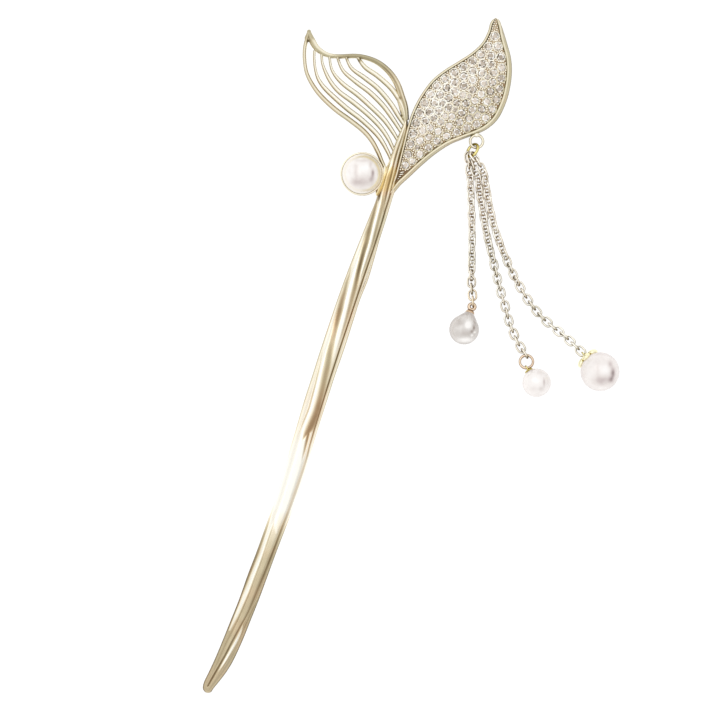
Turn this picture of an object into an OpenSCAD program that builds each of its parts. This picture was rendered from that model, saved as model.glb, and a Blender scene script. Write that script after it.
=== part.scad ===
/* [Stem] */
// Thickness of the stem where it is thickest
stem_t = 3.2; // [2.6:0.1:3.8]
// Depth of the soft grooves that wind down the stem
groove_depth = 0.5; // [0.2:0.05:0.7]
// Width of a groove, as a share of the stem's width
groove_w = 0.06; // [0.04:0.01:0.1]

/* [Openwork fluke] */
// Thickness of the rims and veins
openwork_t = 1.6; // [1.2:0.1:2]
// Height of the flukes' undersides above the back of the stem
fluke_lift = 0.4; // [0.2:0.1:0.6]
// Radius of the fillets where the veins join the rims
vein_fillet = 0.2; // [0.1:0.05:0.3]

/* [Stone fluke] */
// Height of the broad base of the stone fluke
base_t = 1; // [0.8:0.1:1.2]
// Height of the whole stone fluke, up to its rim
tray_t = 2.2; // [2:0.1:2.4]
// Depth of the tray inside its rim
tray_depth = 0.6; // [0.4:0.1:0.7]
// Width of the rim
rim_w = 0.65; // [0.5:0.05:0.8]
// Width of the side wall that shows past the rim on the right
wall_show = 0.65; // [0.4:0.05:0.8]

/* [Stones] */
// Diameter of a round stone across its girdle
stone_d = 1.9; // [1.8:0.05:1.95]
// Distance between two stones in a row
stone_pitch = 2.7; // [2.6:0.05:3]
// Distance from the rim's outer edge to the middle of the first row
row_inset = 1.9; // [1.85:0.05:2.1]
// Gap all round a stone in its seat
seat_gap = 0.12; // [0.12:0.01:0.14]

/* [Pearl cup] */
// Diameter of the pearl in the cup
seat_pearl_d = 10; // [9.6:0.1:10]
// Outer radius of the cup
cup_r = 5.45; // [5.4:0.01:5.5]
// Height of the cup, up to the middle of its pearl
cup_h = 3.2; // [3:0.1:3.4]

/* [Chains] */
// Length of a chain link, outside
link_l = 2.9; // [2.85:0.05:2.95]
// Width of a chain link, outside
link_w = 2.1; // [2:0.05:2.1]
// Thickness of a chain link's wire
link_d = 0.42; // [0.38:0.01:0.43]

/* [Drops] */
// Diameter of the teardrop pearl
teardrop_d = 7.5; // [7:0.1:7.8]
// Diameter of the small round pearl
small_d = 7.2; // [6.8:0.1:7.4]
// Diameter of the large round pearl
large_d = 9.8; // [9.4:0.1:10]
// Thickness of the wire of the drops' rings and eyes
drop_wire = 0.46; // [0.42:0.01:0.47]

/* [Hidden] */
$fn = 48;
// Gap between a cemented or pushed-in piece and what holds it
gap = 0.1;
pale_gold = [0.8, 0.74, 0.57];
yellow_gold = [0.82, 0.68, 0.36];
rose_gold = [0.8, 0.58, 0.42];
pearl_white = [0.93, 0.91, 0.9];

// The origin is the middle of the pearl cup's back. +Y points up the stick, from its point to
// its flukes, and +X to the right. The stick lies on its back, at Z = 0.

// Stem sections, columns [y, left edge, right edge, thickness as a share of stem_t]
STEM = [
    [13.6, 10.7, 11.35, 0.62],
    [11, 9.6, 11.5, 0.76],
    [8.5, 8.6, 10.9, 0.84],
    [6, 7.7, 10.2, 0.9],
    [3.5, 6.8, 9.5, 0.94],
    [1.5, 6, 9.1, 0.96],
    [-0.5, 5.1, 8.9, 0.97],
    [-3.25, 4.3, 8.5, 0.98],
    [-6.5, 3.5, 7.5, 1],
    [-11.5, 1.5, 6, 1],
    [-16.5, -0.5, 4.4, 1],
    [-21.5, -2.5, 3, 1],
    [-26.5, -4.4, 1.5, 1],
    [-31.5, -6.2, -0.5, 1],
    [-36.5, -7.9, -2.1, 1],
    [-44, -10.4, -4.5, 1],
    [-50, -12.3, -6.6, 1],
    [-56.5, -14.4, -8.7, 1],
    [-64, -16.6, -11.1, 1],
    [-69, -18.1, -12.6, 1],
    [-75, -19.8, -14.4, 1],
    [-81.5, -21.8, -16.5, 1],
    [-87.5, -23.9, -18.7, 1],
    [-94, -26.2, -21.2, 0.98],
    [-100, -28.5, -23.4, 0.97],
    [-106.5, -30.8, -25.8, 0.95],
    [-111.5, -32.8, -27.8, 0.93],
    [-116.5, -34.8, -29.8, 0.9],
    [-121.5, -36.9, -32.1, 0.86],
    [-124.5, -38.3, -33.9, 0.82],
    [-127, -39.5, -35.8, 0.76],
    [-128.6, -39.8, -37.1, 0.66],
    [-129.5, -39.3, -37.7, 0.5],
    [-129.75, -38.8, -38.2, 0.36]
];

// Grooves on the stem, each with columns [y, place across the stem from 0 at the left to 1]
GROOVES = [
    [[14, 0.6], [0, 0.6], [-6.5, 0.69], [-16, 0.8], [-27, 0.83], [-69, 0.83], [-85, 0.87],
     [-100, 0.84], [-106, 0.8], [-111, 0.63], [-118, 0.5], [-125, 0.34], [-130, 0.2]],
    [[-7, -0.1], [-14, 0.3], [-26.5, 0.53], [-30, 0.8]],
    [[-20, -0.1], [-24, 0.08], [-31.5, 0.22], [-38.5, 0.29], [-44, 0.42], [-51, 0.6], [-66, 0.8]],
    [[-41, -0.1], [-45, 0.12], [-53, 0.22], [-66, 0.4], [-80, 0.6], [-92, 0.84]],
    [[-72, -0.1], [-86, 0.35], [-106, 0.62], [-112, 0.7]],
    [[-92, -0.1], [-101, 0.15], [-110, 0.3], [-120, 0.42]]
];

// Lower rim of the openwork fluke, columns [x, y, width]
LOWER_RIM = [
    [-13.2, 35.6, 0.9], [-13.9, 33.4, 0.9], [-14.3, 31.4, 0.9], [-14.35, 28.9, 0.9],
    [-13.8, 25.3, 0.95], [-12.05, 21.85, 1.05], [-9.7, 18.95, 1.15], [-6.4, 15.95, 1.2],
    [-3.15, 13.6, 1.2], [0.3, 10.85, 1.2], [2.45, 8.35, 1.15], [4, 5.5, 1.1], [5.1, 2.9, 1],
    [6.2, 0.5, 0.9]
];

// Upper rim of the openwork fluke, columns [x, y, width]
UPPER_RIM = [
    [-13.3, 35.5, 1], [-12.5, 33.4, 1.6], [-11.2, 31.35, 1.5], [-8.7, 29.8, 1.2],
    [-5.9, 29.4, 1.1], [-1.6, 29.5, 1.15], [1.5, 28.95, 1.2], [4.35, 27.65, 1.35],
    [6.95, 25.35, 1.5], [8.75, 22.6, 1.6], [9.9, 19.5, 1.6], [10.8, 16.6, 1.5], [11.2, 13.5, 1.1]
];

// Veins of the openwork fluke, from the upper rim to the stem, columns [x, y, width]
VEINS = [
    [[-11.9, 30.9, 0.6], [-11.9, 28.5, 0.65], [-11.6, 26, 0.7], [-10.75, 23.5, 0.9],
     [-8.75, 20.9, 1.1], [-4, 16.6, 1.2], [0, 13.5, 1.2], [4.1, 9.5, 1.15], [6.6, 5.25, 0.9],
     [7.3, 3.2, 0.7]],
    [[-10.1, 30, 0.6], [-9.8, 27.4, 0.7], [-8.25, 23.75, 0.95], [-5.9, 20.75, 1.1],
     [-2.25, 18, 1.2], [1.4, 15, 1.2], [4.4, 12, 1.15], [6.5, 9, 1], [8, 5.9, 0.8]],
    [[-8.15, 29.4, 0.6], [-7.4, 25.85, 0.75], [-5, 22.8, 1.05], [-1, 19.75, 1.2],
     [2.6, 16.5, 1.2], [5.6, 13.5, 1.15], [7.75, 10.5, 1], [9.1, 8.2, 0.8]],
    [[-6.2, 29.3, 0.6], [-4.7, 25.85, 0.85], [-1.6, 23.1, 1.1], [2, 20.4, 1.2],
     [5.3, 17.1, 1.2], [7.75, 13.75, 1.1], [9.8, 10.6, 0.9]],
    [[-4.05, 29.4, 0.6], [-2.55, 26.45, 0.9], [0.75, 24, 1.15], [4.1, 21.3, 1.2],
     [7.15, 17.7, 1.2], [9.25, 14.35, 1.1], [10.6, 12.3, 0.9]],
    [[-1.3, 29.5, 0.7], [0.75, 26.75, 1.1], [3.8, 24.6, 1.2], [6.85, 21.9, 1.2],
     [8.7, 19.5, 1.15], [10.2, 16.75, 1.1], [10.9, 14, 1]]
];

// Edge of the stone fluke that faces the openwork fluke, from its point down, columns [x, y]
INNER_EDGE = [
    [33.4, 38.95], [32.6, 38.5], [31.95, 37.4], [31.45, 35.5], [30, 32.8], [27.5, 30.4], [24.25, 28.25],
    [20.85, 26.15], [17.8, 23.75], [15.4, 20.75], [13.6, 17.75], [12.25, 14.65], [11.2, 11.3],
    [10.3, 7.7], [9.25, 3.5], [8.2, -0.5], [6.9, -4.6]
];

// Outer and lower edge of the stone fluke, from its point down, columns [x, y]
OUTER_EDGE = [
    [33.4, 38.95], [34.2, 38.5], [34.8, 37.4], [35.4, 35.7], [36.4, 32.4], [37.3, 28.9], [37.5, 25.25],
    [37, 21.3], [36, 17.75], [34.2, 14], [31.8, 11.6], [29.2, 10.2], [25.75, 8.9],
    [22.1, 7.4], [18.4, 5], [15.1, 2.25], [11.9, -0.75], [9.5, -3], [7.3, -5.8]
];

// Soldered ring under the stone fluke
loop_at = [28.65, 8.15, 1.4];
loop_r = 1.6;
loop_wire = 0.66;

// Jump ring that hangs in the soldered ring and carries the chains
jump_at = [27.65, 5.9, 1.76];
jump_r = 1.75;
jump_wire = 0.6;
// Its turn on the surface, and the lean of its plane out of level
jump_turn = -35;
jump_lean = -55;

// Where each chain's first link hangs on the jump ring, as an angle round it
hang_angle = [-13, 22, 57];

// Height of a link's middle where its chain lies on the surface
lie = 1.08;

// Chain routes, columns [x, y, height of the link's middle]
SHORT_ROUTE = [
    [26.65, 3.6, 1.25], [26.85, 1.5, lie], [27, -0.5, lie], [27.15, -4, lie], [27.3, -8, lie],
    [27.45, -12, lie], [27.5, -16, lie], [27.45, -21, lie], [27.4, -25, lie], [27.4, -28.4, 1.1],
    [27.65, -30.6, 1.6]
];
MIDDLE_ROUTE = [
    [27.6, 2.8, 2.2], [28.2, 1, 1.9], [28.9, -0.9, 1.65], [29.4, -4.5, lie], [30, -8.3, lie],
    [30.6, -12, lie], [31.25, -15.5, lie], [32.1, -19, lie], [32.9, -22.3, lie],
    [33.8, -26, lie], [34.7, -29.5, lie], [35.8, -33.2, lie], [36.8, -37, lie],
    [38.4, -41, lie], [39.7, -43.4, 1.15]
];
LONG_ROUTE = [
    [28.8, 3.3, 3.1], [29.7, 1.6, 2.8], [30.6, -0.5, 2.4], [31.15, -4, 1.4], [31.8, -7.5, lie],
    [32.5, -11, lie], [33.5, -14.5, lie], [34.9, -18.4, lie], [36.3, -21.8, lie],
    [37.9, -25.3, lie], [39.9, -28.9, lie], [42.2, -32.5, lie], [45.1, -35.9, lie],
    [48.1, -38.5, 1.3], [50.7, -40.6, 1.85], [52.9, -42.6, 2.45]
];

// Roll of the links round their chain, columns [link, roll]. Every other link adds a quarter
// turn, and each link wanders by a few degrees.
SHORT_ROLL = [[0, -30], [1, 0], [3, -45], [16, -45], [22, -96]];
MIDDLE_ROLL = [[0, -40], [1, -5], [3, -45], [12, -45], [19, -8], [29, 0]];
LONG_ROLL = [[0, -45], [1, -15], [3, -45], [13, -45], [20, -8], [32, 0]];
wander = 8;

// Middle of each lying pearl, and the way its hole points, up to its cap
teardrop_at = [25.5, -38.9, teardrop_d / 2];
teardrop_way = [0.32, 0.92, -0.22];
teardrop_tip = 4.9;
small_at = [43.6, -52.2, small_d / 2];
small_way = [-0.5, 0.79, -0.35];
large_at = [59.4, -49.4, large_d / 2];
large_way = [-0.65, 0.7, -0.27];

// A point between rows b and c of a curve that runs through all its rows
function between(a, b, c, d, t) =
    0.5 * (2 * b + (c - a) * t + (2 * a - 5 * b + 4 * c - d) * t * t
           + (3 * b - a - 3 * c + d) * t * t * t);

// A smooth curve through a table's rows, with so many steps from row to row
function curve(rows, steps) = let (last = len(rows) - 1) [
    for (i = [0 : last - 1], k = [0 : steps - 1])
        between(rows[max(i - 1, 0)], rows[i], rows[i + 1], rows[min(i + 2, last)], k / steps),
    rows[last]
];

// Distance along a line of points, up to each of them
function run(pts) = [
    for (i = 0, s = 0; i < len(pts); i = i + 1,
         s = i < len(pts) ? s + norm(pts[i] - pts[i - 1]) : s) s
];

// The point at distance s along a line of points
function along(pts, s, far = undef) =
    let (d = is_undef(far) ? run(pts) : far,
         i = max([for (k = [0 : len(pts) - 2]) if (d[k] <= s || k == 0) k]))
        pts[i] + (pts[i + 1] - pts[i]) * (s - d[i]) / (d[i + 1] - d[i]);

// The unit vector square to a flat line of points at one of them, on its left
function left_of(pts, i) =
    let (d = pts[min(i + 1, len(pts) - 1)] - pts[max(i - 1, 0)], l = norm([d[0], d[1]]))
        [-d[1] / l, d[0] / l];

// A flat line of points moved sideways
function beside(pts, w) = [for (i = [0 : len(pts) - 1]) [pts[i][0], pts[i][1]] + w * left_of(pts, i)];

// Triangles between rings of n points, with both ends closed
function skin(rings, n) = concat(
    [for (k = [0 : rings - 2], i = [0 : n - 1])
        let (a = k * n, j = (i + 1) % n) each [[a + i, a + j, a + n + i], [a + j, a + n + j, a + n + i]]],
    [for (i = [1 : n - 2]) [0, i + 1, i]],
    [for (i = [1 : n - 2]) [(rings - 1) * n, (rings - 1) * n + i, (rings - 1) * n + i + 1]]
);

// Height of the stem's top at a place u across it, as a share of its thickness there
function crown(u) = 0.3 + 0.7 * pow(1 - pow(abs(2 * u - 1), 2.6), 0.5);

// How far the grooves cut in at height y and place u
function cut_in(y, u) = groove_depth * max([
    for (g = GROOVES)
        let (from = g[0][0], to = g[len(g) - 1][0], flip = [for (k = [len(g) - 1 : -1 : 0]) g[k]])
            y > from || y < to ? 0 : exp(-pow((u - lookup(y, flip)) / groove_w, 2))
]);

// One section of the stem, as a ring of points
function stem_section(row) =
    let (y = row[0], left = row[1], w = row[2] - row[1], t = row[3] * stem_t, n = 15)
        concat(
            [for (i = [0 : n]) let (u = i / n)
                [left + u * w, y, t * crown(u) - (i == 0 || i == n ? 0 : cut_in(y, u) * t / stem_t)]],
            [[left + 0.97 * w, y, 0.12 * t], [left + 0.88 * w, y, 0],
             [left + 0.12 * w, y, 0], [left + 0.03 * w, y, 0.12 * t]]
        );

module stem() {
    rows = curve(STEM, 2);
    polyhedron([for (row = rows) each stem_section(row)], skin(len(rows), 20));
}

// A flat ribbon whose middle and width follow a table
module ribbon(rows) {
    pts = curve(rows, 3);
    polygon(concat(
        [for (i = [0 : len(pts) - 1]) [pts[i][0], pts[i][1]] + pts[i][2] / 2 * left_of(pts, i)],
        [for (i = [len(pts) - 1 : -1 : 0]) [pts[i][0], pts[i][1]] - pts[i][2] / 2 * left_of(pts, i)]
    ));
}

module openwork_fluke() {
    translate([0, 0, fluke_lift])
        linear_extrude(openwork_t)
            offset(r = -vein_fillet, $fn = 16)
                offset(delta = vein_fillet) {
                    ribbon(LOWER_RIM);
                    ribbon(UPPER_RIM);
                    for (vein = VEINS) ribbon(vein);
                    translate([-13.2, 35.6]) circle(r = 0.5, $fn = 16);
                }
}

// Outline of the stone fluke, and of its rim, which leans away from the outer edge
module fluke_outline() {
    inner = curve(INNER_EDGE, 3);
    outer = curve(OUTER_EDGE, 3);
    polygon(concat(inner, [for (i = [len(outer) - 1 : -1 : 1]) outer[i]]));
}

rim_shift = [-wall_show, 0.15];
rim_inset = 0.02;

module rim_outline() {
    offset(delta = -rim_inset)
        intersection() {
            fluke_outline();
            translate(rim_shift) fluke_outline();
        }
}

// The lines that the rows of stones follow, along both edges of the fluke, below its narrow point
outer_top = 37;
inner_top = 35;
edge_line = [for (p = curve(OUTER_EDGE, 4)) if (p[1] < outer_top) p + rim_shift];
inner_line = [for (p = curve(INNER_EDGE, 4)) if (p[1] < inner_top) p];

// Places evenly apart along a line
function row_of(line, from, pitch) =
    let (far = run(line))
        [for (s = [from : pitch : far[len(far) - 1]]) along(line, s, far)];

function clear_of(p, others, far) = len(others) == 0 || min([for (q = others) norm(p - q)]) >= far;

// Whether a stone's middle is between both edges and far enough from them
function inside(p) =
    p[0] > lookup(p[1], [for (q = inner_line) [q[1], q[0]]])
    && p[0] < lookup(p[1], [for (q = edge_line) [q[1], q[0]]])
    && clear_of(p, concat(inner_line, edge_line), row_inset - 0.1);

// The places of a list, each kept where it clears the edges and the stones before it
function kept(places, i = 0, found = []) =
    i == len(places) ? found
    : kept(places, i + 1,
           inside(places[i]) && clear_of(places[i], found, least) ? concat(found, [places[i]]) : found);

// The first row along each edge has its own pitch. The rest of the field is filled from the edges
// inwards, each stone as near to those before it as its seat allows.
inner_start = 2.6;
outer_start = 1.9;
least = max(stone_pitch - 0.4, stone_d + 2 * seat_gap + 0.05);
fill_step = 0.2;
fill_depth = 12;
stones = kept(concat(
    row_of(beside(inner_line, row_inset), inner_start, stone_pitch),
    row_of(beside(edge_line, -row_inset), outer_start, stone_pitch),
    [for (deep = [row_inset : fill_step : fill_depth]) each concat(
        row_of(beside(inner_line, deep), 0, fill_step),
        row_of(beside(edge_line, -deep), 0, fill_step)
    )]
));

// The stones' girdles stand a little above the tray's floor, and their points below it
tray_floor = fluke_lift + tray_t - tray_depth;
girdle_z = tray_floor + 0.12;
stone_depth = 0.56;

module stone_fluke() {
    lap = base_t / 2;
    translate([0, 0, fluke_lift]) linear_extrude(base_t) fluke_outline();
    difference() {
        translate([0, 0, fluke_lift + lap]) linear_extrude(tray_t - lap) rim_outline();
        translate([0, 0, tray_floor]) linear_extrude(2) offset(delta = -rim_w) rim_outline();
        for (p = stones)
            translate([p[0], p[1], girdle_z - stone_depth - seat_gap])
                cylinder(h = 2, r = stone_d / 2 + seat_gap, $fn = 20);
    }
}

// A round stone with eight sides: table, crown, pavilion and point
module stone() {
    r = stone_d / 2;
    table_r = 0.6 * r;
    crown_h = 0.3;
    rings = [
        for (p = [[table_r, crown_h], [r, 0]], i = [0 : 7])
            [p[0] * cos(i * 45 + 22.5), p[0] * sin(i * 45 + 22.5), p[1]]
    ];
    polyhedron(
        concat(rings, [[0, 0, -stone_depth]]),
        concat(
            [[7, 6, 5, 4, 3, 2, 1, 0]],
            [for (i = [0 : 7]) let (j = (i + 1) % 8) [i, j, j + 8, i + 8]],
            [for (i = [0 : 7]) [i + 8, (i + 1) % 8 + 8, 16]]
        )
    );
}

// A closed ring of round wire, lying flat
module wire_ring(r, wire) {
    rotate_extrude($fn = 40)
        translate([r, 0]) circle(d = wire, $fn = 20);
}

// The solder that joins the ring to the fluke is a short pin
module soldered_ring() {
    solder_r = 0.55;
    solder_h = 0.7;
    translate(loop_at) wire_ring(loop_r, loop_wire);
    translate(loop_at + [0, loop_r + 0.1, -0.4]) cylinder(h = solder_h, r = solder_r);
}

cup_wall = 0.35;
cup_floor = 0.9;

module pearl_cup() {
    inner_r = cup_r - cup_wall;
    rotate_extrude($fn = 72)
        polygon([
            [0, 0], [4.3, 0], [4.9, 0.35], [5.3, 0.95], [cup_r, 1.7], [cup_r, cup_h - 0.15],
            [cup_r - 0.12, cup_h], [inner_r + 0.08, cup_h], [inner_r, cup_h - 0.1],
            [inner_r, 1.5], [inner_r - 0.3, cup_floor], [0, cup_floor]
        ]);
}

module cast_stick() {
    color(pale_gold) {
        stem();
        openwork_fluke();
        stone_fluke();
        pearl_cup();
        soldered_ring();
    }
}

// The pearl in the cup is ground flat below, and the cement under it is its gap
module seat_pearl() {
    r = seat_pearl_d / 2;
    color(pearl_white)
        translate([0, 0, cup_h])
            difference() {
                sphere(r, $fn = 96);
                translate([-r, -r, cup_floor + gap - cup_h - r]) cube([2 * r, 2 * r, r]);
            }
}

module fluke_stones() {
    color("white")
        for (p = stones) translate([p[0], p[1], girdle_z]) stone();
}

// Places a child made round Z on the jump ring's own axis
module on_jump_ring() {
    translate(jump_at)
        rotate([0, 0, jump_turn])
            rotate([0, jump_lean, 0])
                children();
}

// The point of the jump ring's wire at an angle from its lowest place on the surface
function jump_point(angle) =
    let (x = jump_r * sin(angle), y = -jump_r * cos(angle), level = x * cos(jump_lean))
        jump_at + [level * cos(jump_turn) - y * sin(jump_turn),
                   level * sin(jump_turn) + y * cos(jump_turn), -x * sin(jump_lean)];

module jump_ring() {
    color(yellow_gold) on_jump_ring() wire_ring(jump_r, jump_wire);
}

// One chain link round the X axis, of five-sided wire, with five corners at each end
module link() {
    end_r = (link_w - link_d) / 2;
    end_x = (link_l - link_w) / 2;
    corners = [
        for (side = [1, -1], a = [-90 : 45 : 90])
            [[side * (end_x + end_r * cos(a)), side * end_r * sin(a)], [side * cos(a), side * sin(a)]]
    ];
    polyhedron(
        [for (c = corners, k = [0 : 4]) let (w = link_d / 2 * [cos(72 * k), sin(72 * k)])
            [c[0][0] + w[0] * c[1][0], c[0][1] + w[0] * c[1][1], w[1]]],
        [for (i = [0 : 9], k = [0 : 4])
            let (a = 5 * i, b = 5 * ((i + 1) % 10), j = (k + 1) % 5)
                each [[a + k, a + j, b + k], [a + j, b + j, b + k]]]
    );
}

// Links along a route from a first to a last distance, each rolled a quarter turn from the one
// before. The chain lies slack at its top, so the links are closer there. A link slopes as the
// route does over half_reach on both sides of it.
half_reach = 0.7;
wander_step = 71;

module chain(rows, rolls, slack, first, last) {
    pts = curve(rows, 4);
    far = run(pts);
    count = rolls[len(rolls) - 1][0];
    span = far[len(far) - 1] - first - last;
    for (i = [0 : count]) {
        s = first + span * i / count * (1 - slack * (1 - i / count));
        d = along(pts, s + half_reach, far) - along(pts, s - half_reach, far);
        roll = lookup(i, rolls) + 90 * (i % 2) + wander * sin(wander_step * i);
        translate(along(pts, s, far))
            rotate([roll, -asin(d[2] / norm(d)), atan2(d[1], d[0])])
                link();
    }
}

// Distance from an end link's middle to the middle of the wire that it hangs on, less half of that
// wire and with a little play
link_play = 0.28;
link_reach = link_l / 2 - link_d - link_play;

module chain_short() {
    color(pale_gold)
        chain(concat([jump_point(hang_angle[0])], SHORT_ROUTE, [short_end]), SHORT_ROLL, 0.03,
              link_reach - jump_wire / 2, link_reach - drop_wire / 2);
}

module chain_middle() {
    color(pale_gold)
        chain(concat([jump_point(hang_angle[1])], MIDDLE_ROUTE, [middle_end]), MIDDLE_ROLL, 0.06,
              link_reach - jump_wire / 2, link_reach - drop_wire / 2);
}

module chain_long() {
    color(pale_gold)
        chain(concat([jump_point(hang_angle[2])], LONG_ROUTE, [long_end]), LONG_ROLL, 0.06,
              link_reach - jump_wire / 2, link_reach - drop_wire / 2);
}

// Turns a child made round Z so that its Z points along a way
module pointing(at, way) {
    translate(at)
        rotate([0, acos(way[2] / norm(way)), atan2(way[1], way[0])])
            children();
}

// A point on a pearl's own axis, at a distance from its middle
function on_axis(at, way, far) = at + far * way / norm(way);

eye_r = 0.64;
eye_wire = drop_wire - 0.08;
stalk_r = 0.5;
peg_r = 0.35;
peg_depth = 2.4;
bore_r = peg_r + gap;
bore_depth = peg_depth + 0.3;
cap_t = 0.3;
// The teardrop's eye is a wider loop that lies level
teardrop_eye_r = 0.85;

// Distance from a pearl's middle to the middle of its eye
teardrop_eye = teardrop_tip + gap + 0.35 + teardrop_eye_r;
small_eye = small_d / 2 + gap + cap_t + eye_r;
large_eye = large_d / 2 + gap + cap_t + 0.2 + eye_r;

// Ring between the middle chain and its eye, and the way that its plane runs up to the chain
small_ring_r = 1.65;
small_ring_way = [-0.1, 0.92, -0.2];

small_ring_at = on_axis(small_at, small_way, small_eye) + on_axis([0, 0, 0], small_ring_way, small_ring_r);
short_end = on_axis(teardrop_at, teardrop_way, teardrop_eye + teardrop_eye_r);
middle_end = on_axis(small_ring_at, small_ring_way, small_ring_r);
long_end = on_axis(large_at, large_way, large_eye + eye_r);

// A flat ring whose plane holds a way and the level line square to it
module ring_along(at, way, r) {
    translate(at)
        rotate([0, 0, atan2(way[1], way[0])])
            rotate([0, -asin(way[2] / norm(way)), 0])
                wire_ring(r, drop_wire);
}

// A cap round Z on a ball of radius r whose middle is the origin: a dish, a collar, an eye
// that stands on it, and a peg down into the ball
module cap(r, dish_r, eye) {
    stalk_foot = r + gap;
    intersection() {
        cap_shell(r);
        cylinder(h = 2 * r, r = dish_r);
    }
    peg(r);
    translate([0, 0, stalk_foot]) cylinder(h = eye - eye_r - stalk_foot, r = stalk_r);
    translate([0, 0, eye]) rotate([90, 0, 0]) wire_ring(eye_r, eye_wire);
}

// The thin shell round a ball that caps are cut from
module cap_shell(r) {
    difference() {
        sphere(r + gap + cap_t, $fn = 64);
        sphere(r + gap, $fn = 64);
    }
}

// A peg down from a pearl's top, and the bore that takes it
module peg(top) {
    translate([0, 0, top - peg_depth]) cylinder(h = peg_depth + 2 * gap, r = peg_r);
}

module bore(top) {
    translate([0, 0, top - bore_depth]) cylinder(h = 2 * bore_depth, r = bore_r);
}

module small_ring() {
    color(rose_gold) ring_along(small_ring_at, small_ring_way, small_ring_r);
}

// The teardrop is a ball with a straight flank up to a blunt tip
teardrop_flank = 37;
teardrop_neck = 0.85;

module teardrop_pearl() {
    r = teardrop_d / 2;
    color(pearl_white)
        pointing(teardrop_at, teardrop_way)
            difference() {
                rotate_extrude($fn = 64)
                    polygon(concat(
                        [for (k = [0 : 14]) let (a = -90 + (90 + teardrop_flank) * k / 14)
                            [r * cos(a), r * sin(a)]],
                        [[teardrop_neck + 0.3, teardrop_tip - 0.2], [teardrop_neck, teardrop_tip],
                         [0, teardrop_tip]]
                    ));
                bore(teardrop_tip);
            }
}

module teardrop_cap() {
    top = teardrop_tip + gap;
    color(rose_gold)
        pointing(teardrop_at, teardrop_way) {
            rotate_extrude($fn = 40)
                polygon([
                    [0, top], [teardrop_neck + 0.1, top], [teardrop_neck + 0.75, top - 0.6],
                    [teardrop_neck + 0.9, top - 0.5], [teardrop_neck + 0.3, top + 0.25],
                    [0.4, top + 0.35], [0, top + 0.35]
                ]);
            peg(teardrop_tip);
            translate([0, 0, teardrop_eye]) rotate([0, 90, 0]) wire_ring(teardrop_eye_r, drop_wire);
        }
}

// A ball drilled from its top for its cap's peg
module drilled_ball(at, way, d) {
    pointing(at, way)
        difference() {
            sphere(d = d, $fn = 96);
            bore(d / 2);
        }
}

module small_pearl() {
    color(pearl_white) drilled_ball(small_at, small_way, small_d);
}

module small_cap() {
    color(yellow_gold) pointing(small_at, small_way) cap(small_d / 2, 1.1, small_eye);
}

module large_pearl() {
    color(pearl_white) drilled_ball(large_at, large_way, large_d);
}

// The large pearl's cap opens in five round petals
module large_cap() {
    r = large_d / 2;
    petals = 5;
    petal_r = 0.85;
    petal_at = 1.55;
    color(yellow_gold)
        pointing(large_at, large_way) {
            cap(r, 0.9, large_eye);
            intersection() {
                cap_shell(r);
                for (k = [0 : petals - 1])
                    rotate([0, 0, k * 360 / petals])
                        translate([petal_at, 0, 0])
                            cylinder(h = 2 * r, r = petal_r);
            }
        }
}

cast_stick();
seat_pearl();
fluke_stones();
jump_ring();
chain_short();
chain_middle();
chain_long();
teardrop_cap();
teardrop_pearl();
small_ring();
small_cap();
small_pearl();
large_cap();
large_pearl();
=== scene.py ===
import math
import random

import bmesh
import bpy
import numpy as np
from mathutils import Matrix, Vector


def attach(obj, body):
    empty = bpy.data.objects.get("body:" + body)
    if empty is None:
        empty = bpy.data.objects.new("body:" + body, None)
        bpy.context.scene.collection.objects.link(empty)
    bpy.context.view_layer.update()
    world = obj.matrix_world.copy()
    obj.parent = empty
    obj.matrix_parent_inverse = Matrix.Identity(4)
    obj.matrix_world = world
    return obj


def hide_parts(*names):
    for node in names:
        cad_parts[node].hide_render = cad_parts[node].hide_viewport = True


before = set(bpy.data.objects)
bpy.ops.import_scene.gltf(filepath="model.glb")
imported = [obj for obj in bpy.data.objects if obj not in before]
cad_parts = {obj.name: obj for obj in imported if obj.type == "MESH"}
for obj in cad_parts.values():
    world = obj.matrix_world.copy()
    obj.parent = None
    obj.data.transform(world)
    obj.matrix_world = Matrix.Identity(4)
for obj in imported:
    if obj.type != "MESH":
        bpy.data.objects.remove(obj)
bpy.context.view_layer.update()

# Sizes and places are in millimetres here, as in the part, and are made metres when a piece is
# finished. The origin is the middle of the pearl cup's back, and the stick lies on its back.
MM = 0.001
random.seed(7)

# Stem edges, columns [y, left edge, right edge, thickness]
STEM = [
    [13.6, 10.7, 11.35, 2.0], [11, 9.6, 11.5, 2.4], [8.5, 8.6, 10.9, 2.7], [6, 7.7, 10.2, 2.9],
    [3.5, 6.8, 9.5, 3.0], [1.5, 6, 9.1, 3.07], [-0.5, 5.1, 8.9, 3.1], [-3.25, 4.3, 8.5, 3.14],
    [-6.5, 3.5, 7.5, 3.2], [-11.5, 1.5, 6, 3.2], [-16.5, -0.5, 4.4, 3.2], [-21.5, -2.5, 3, 3.2],
    [-26.5, -4.4, 1.5, 3.2], [-31.5, -6.2, -0.5, 3.2], [-36.5, -7.9, -2.1, 3.2],
    [-44, -10.4, -4.5, 3.2], [-50, -12.3, -6.6, 3.2], [-56.5, -14.4, -8.7, 3.2],
    [-64, -16.6, -11.1, 3.2], [-69, -18.1, -12.6, 3.2], [-75, -19.8, -14.4, 3.2],
    [-81.5, -21.8, -16.5, 3.2], [-87.5, -23.9, -18.7, 3.2], [-94, -26.2, -21.2, 3.14],
    [-100, -28.5, -23.4, 3.1], [-106.5, -30.8, -25.8, 3.04], [-111.5, -32.8, -27.8, 2.98],
    [-116.5, -34.8, -29.8, 2.9], [-121.5, -36.9, -32.1, 2.75], [-124.5, -38.3, -33.9, 2.62],
    [-127, -39.5, -35.8, 2.4], [-128.6, -39.8, -37.1, 2.1], [-129.5, -39.3, -37.7, 1.6],
    [-129.75, -38.8, -38.2, 1.15],
]

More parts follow.
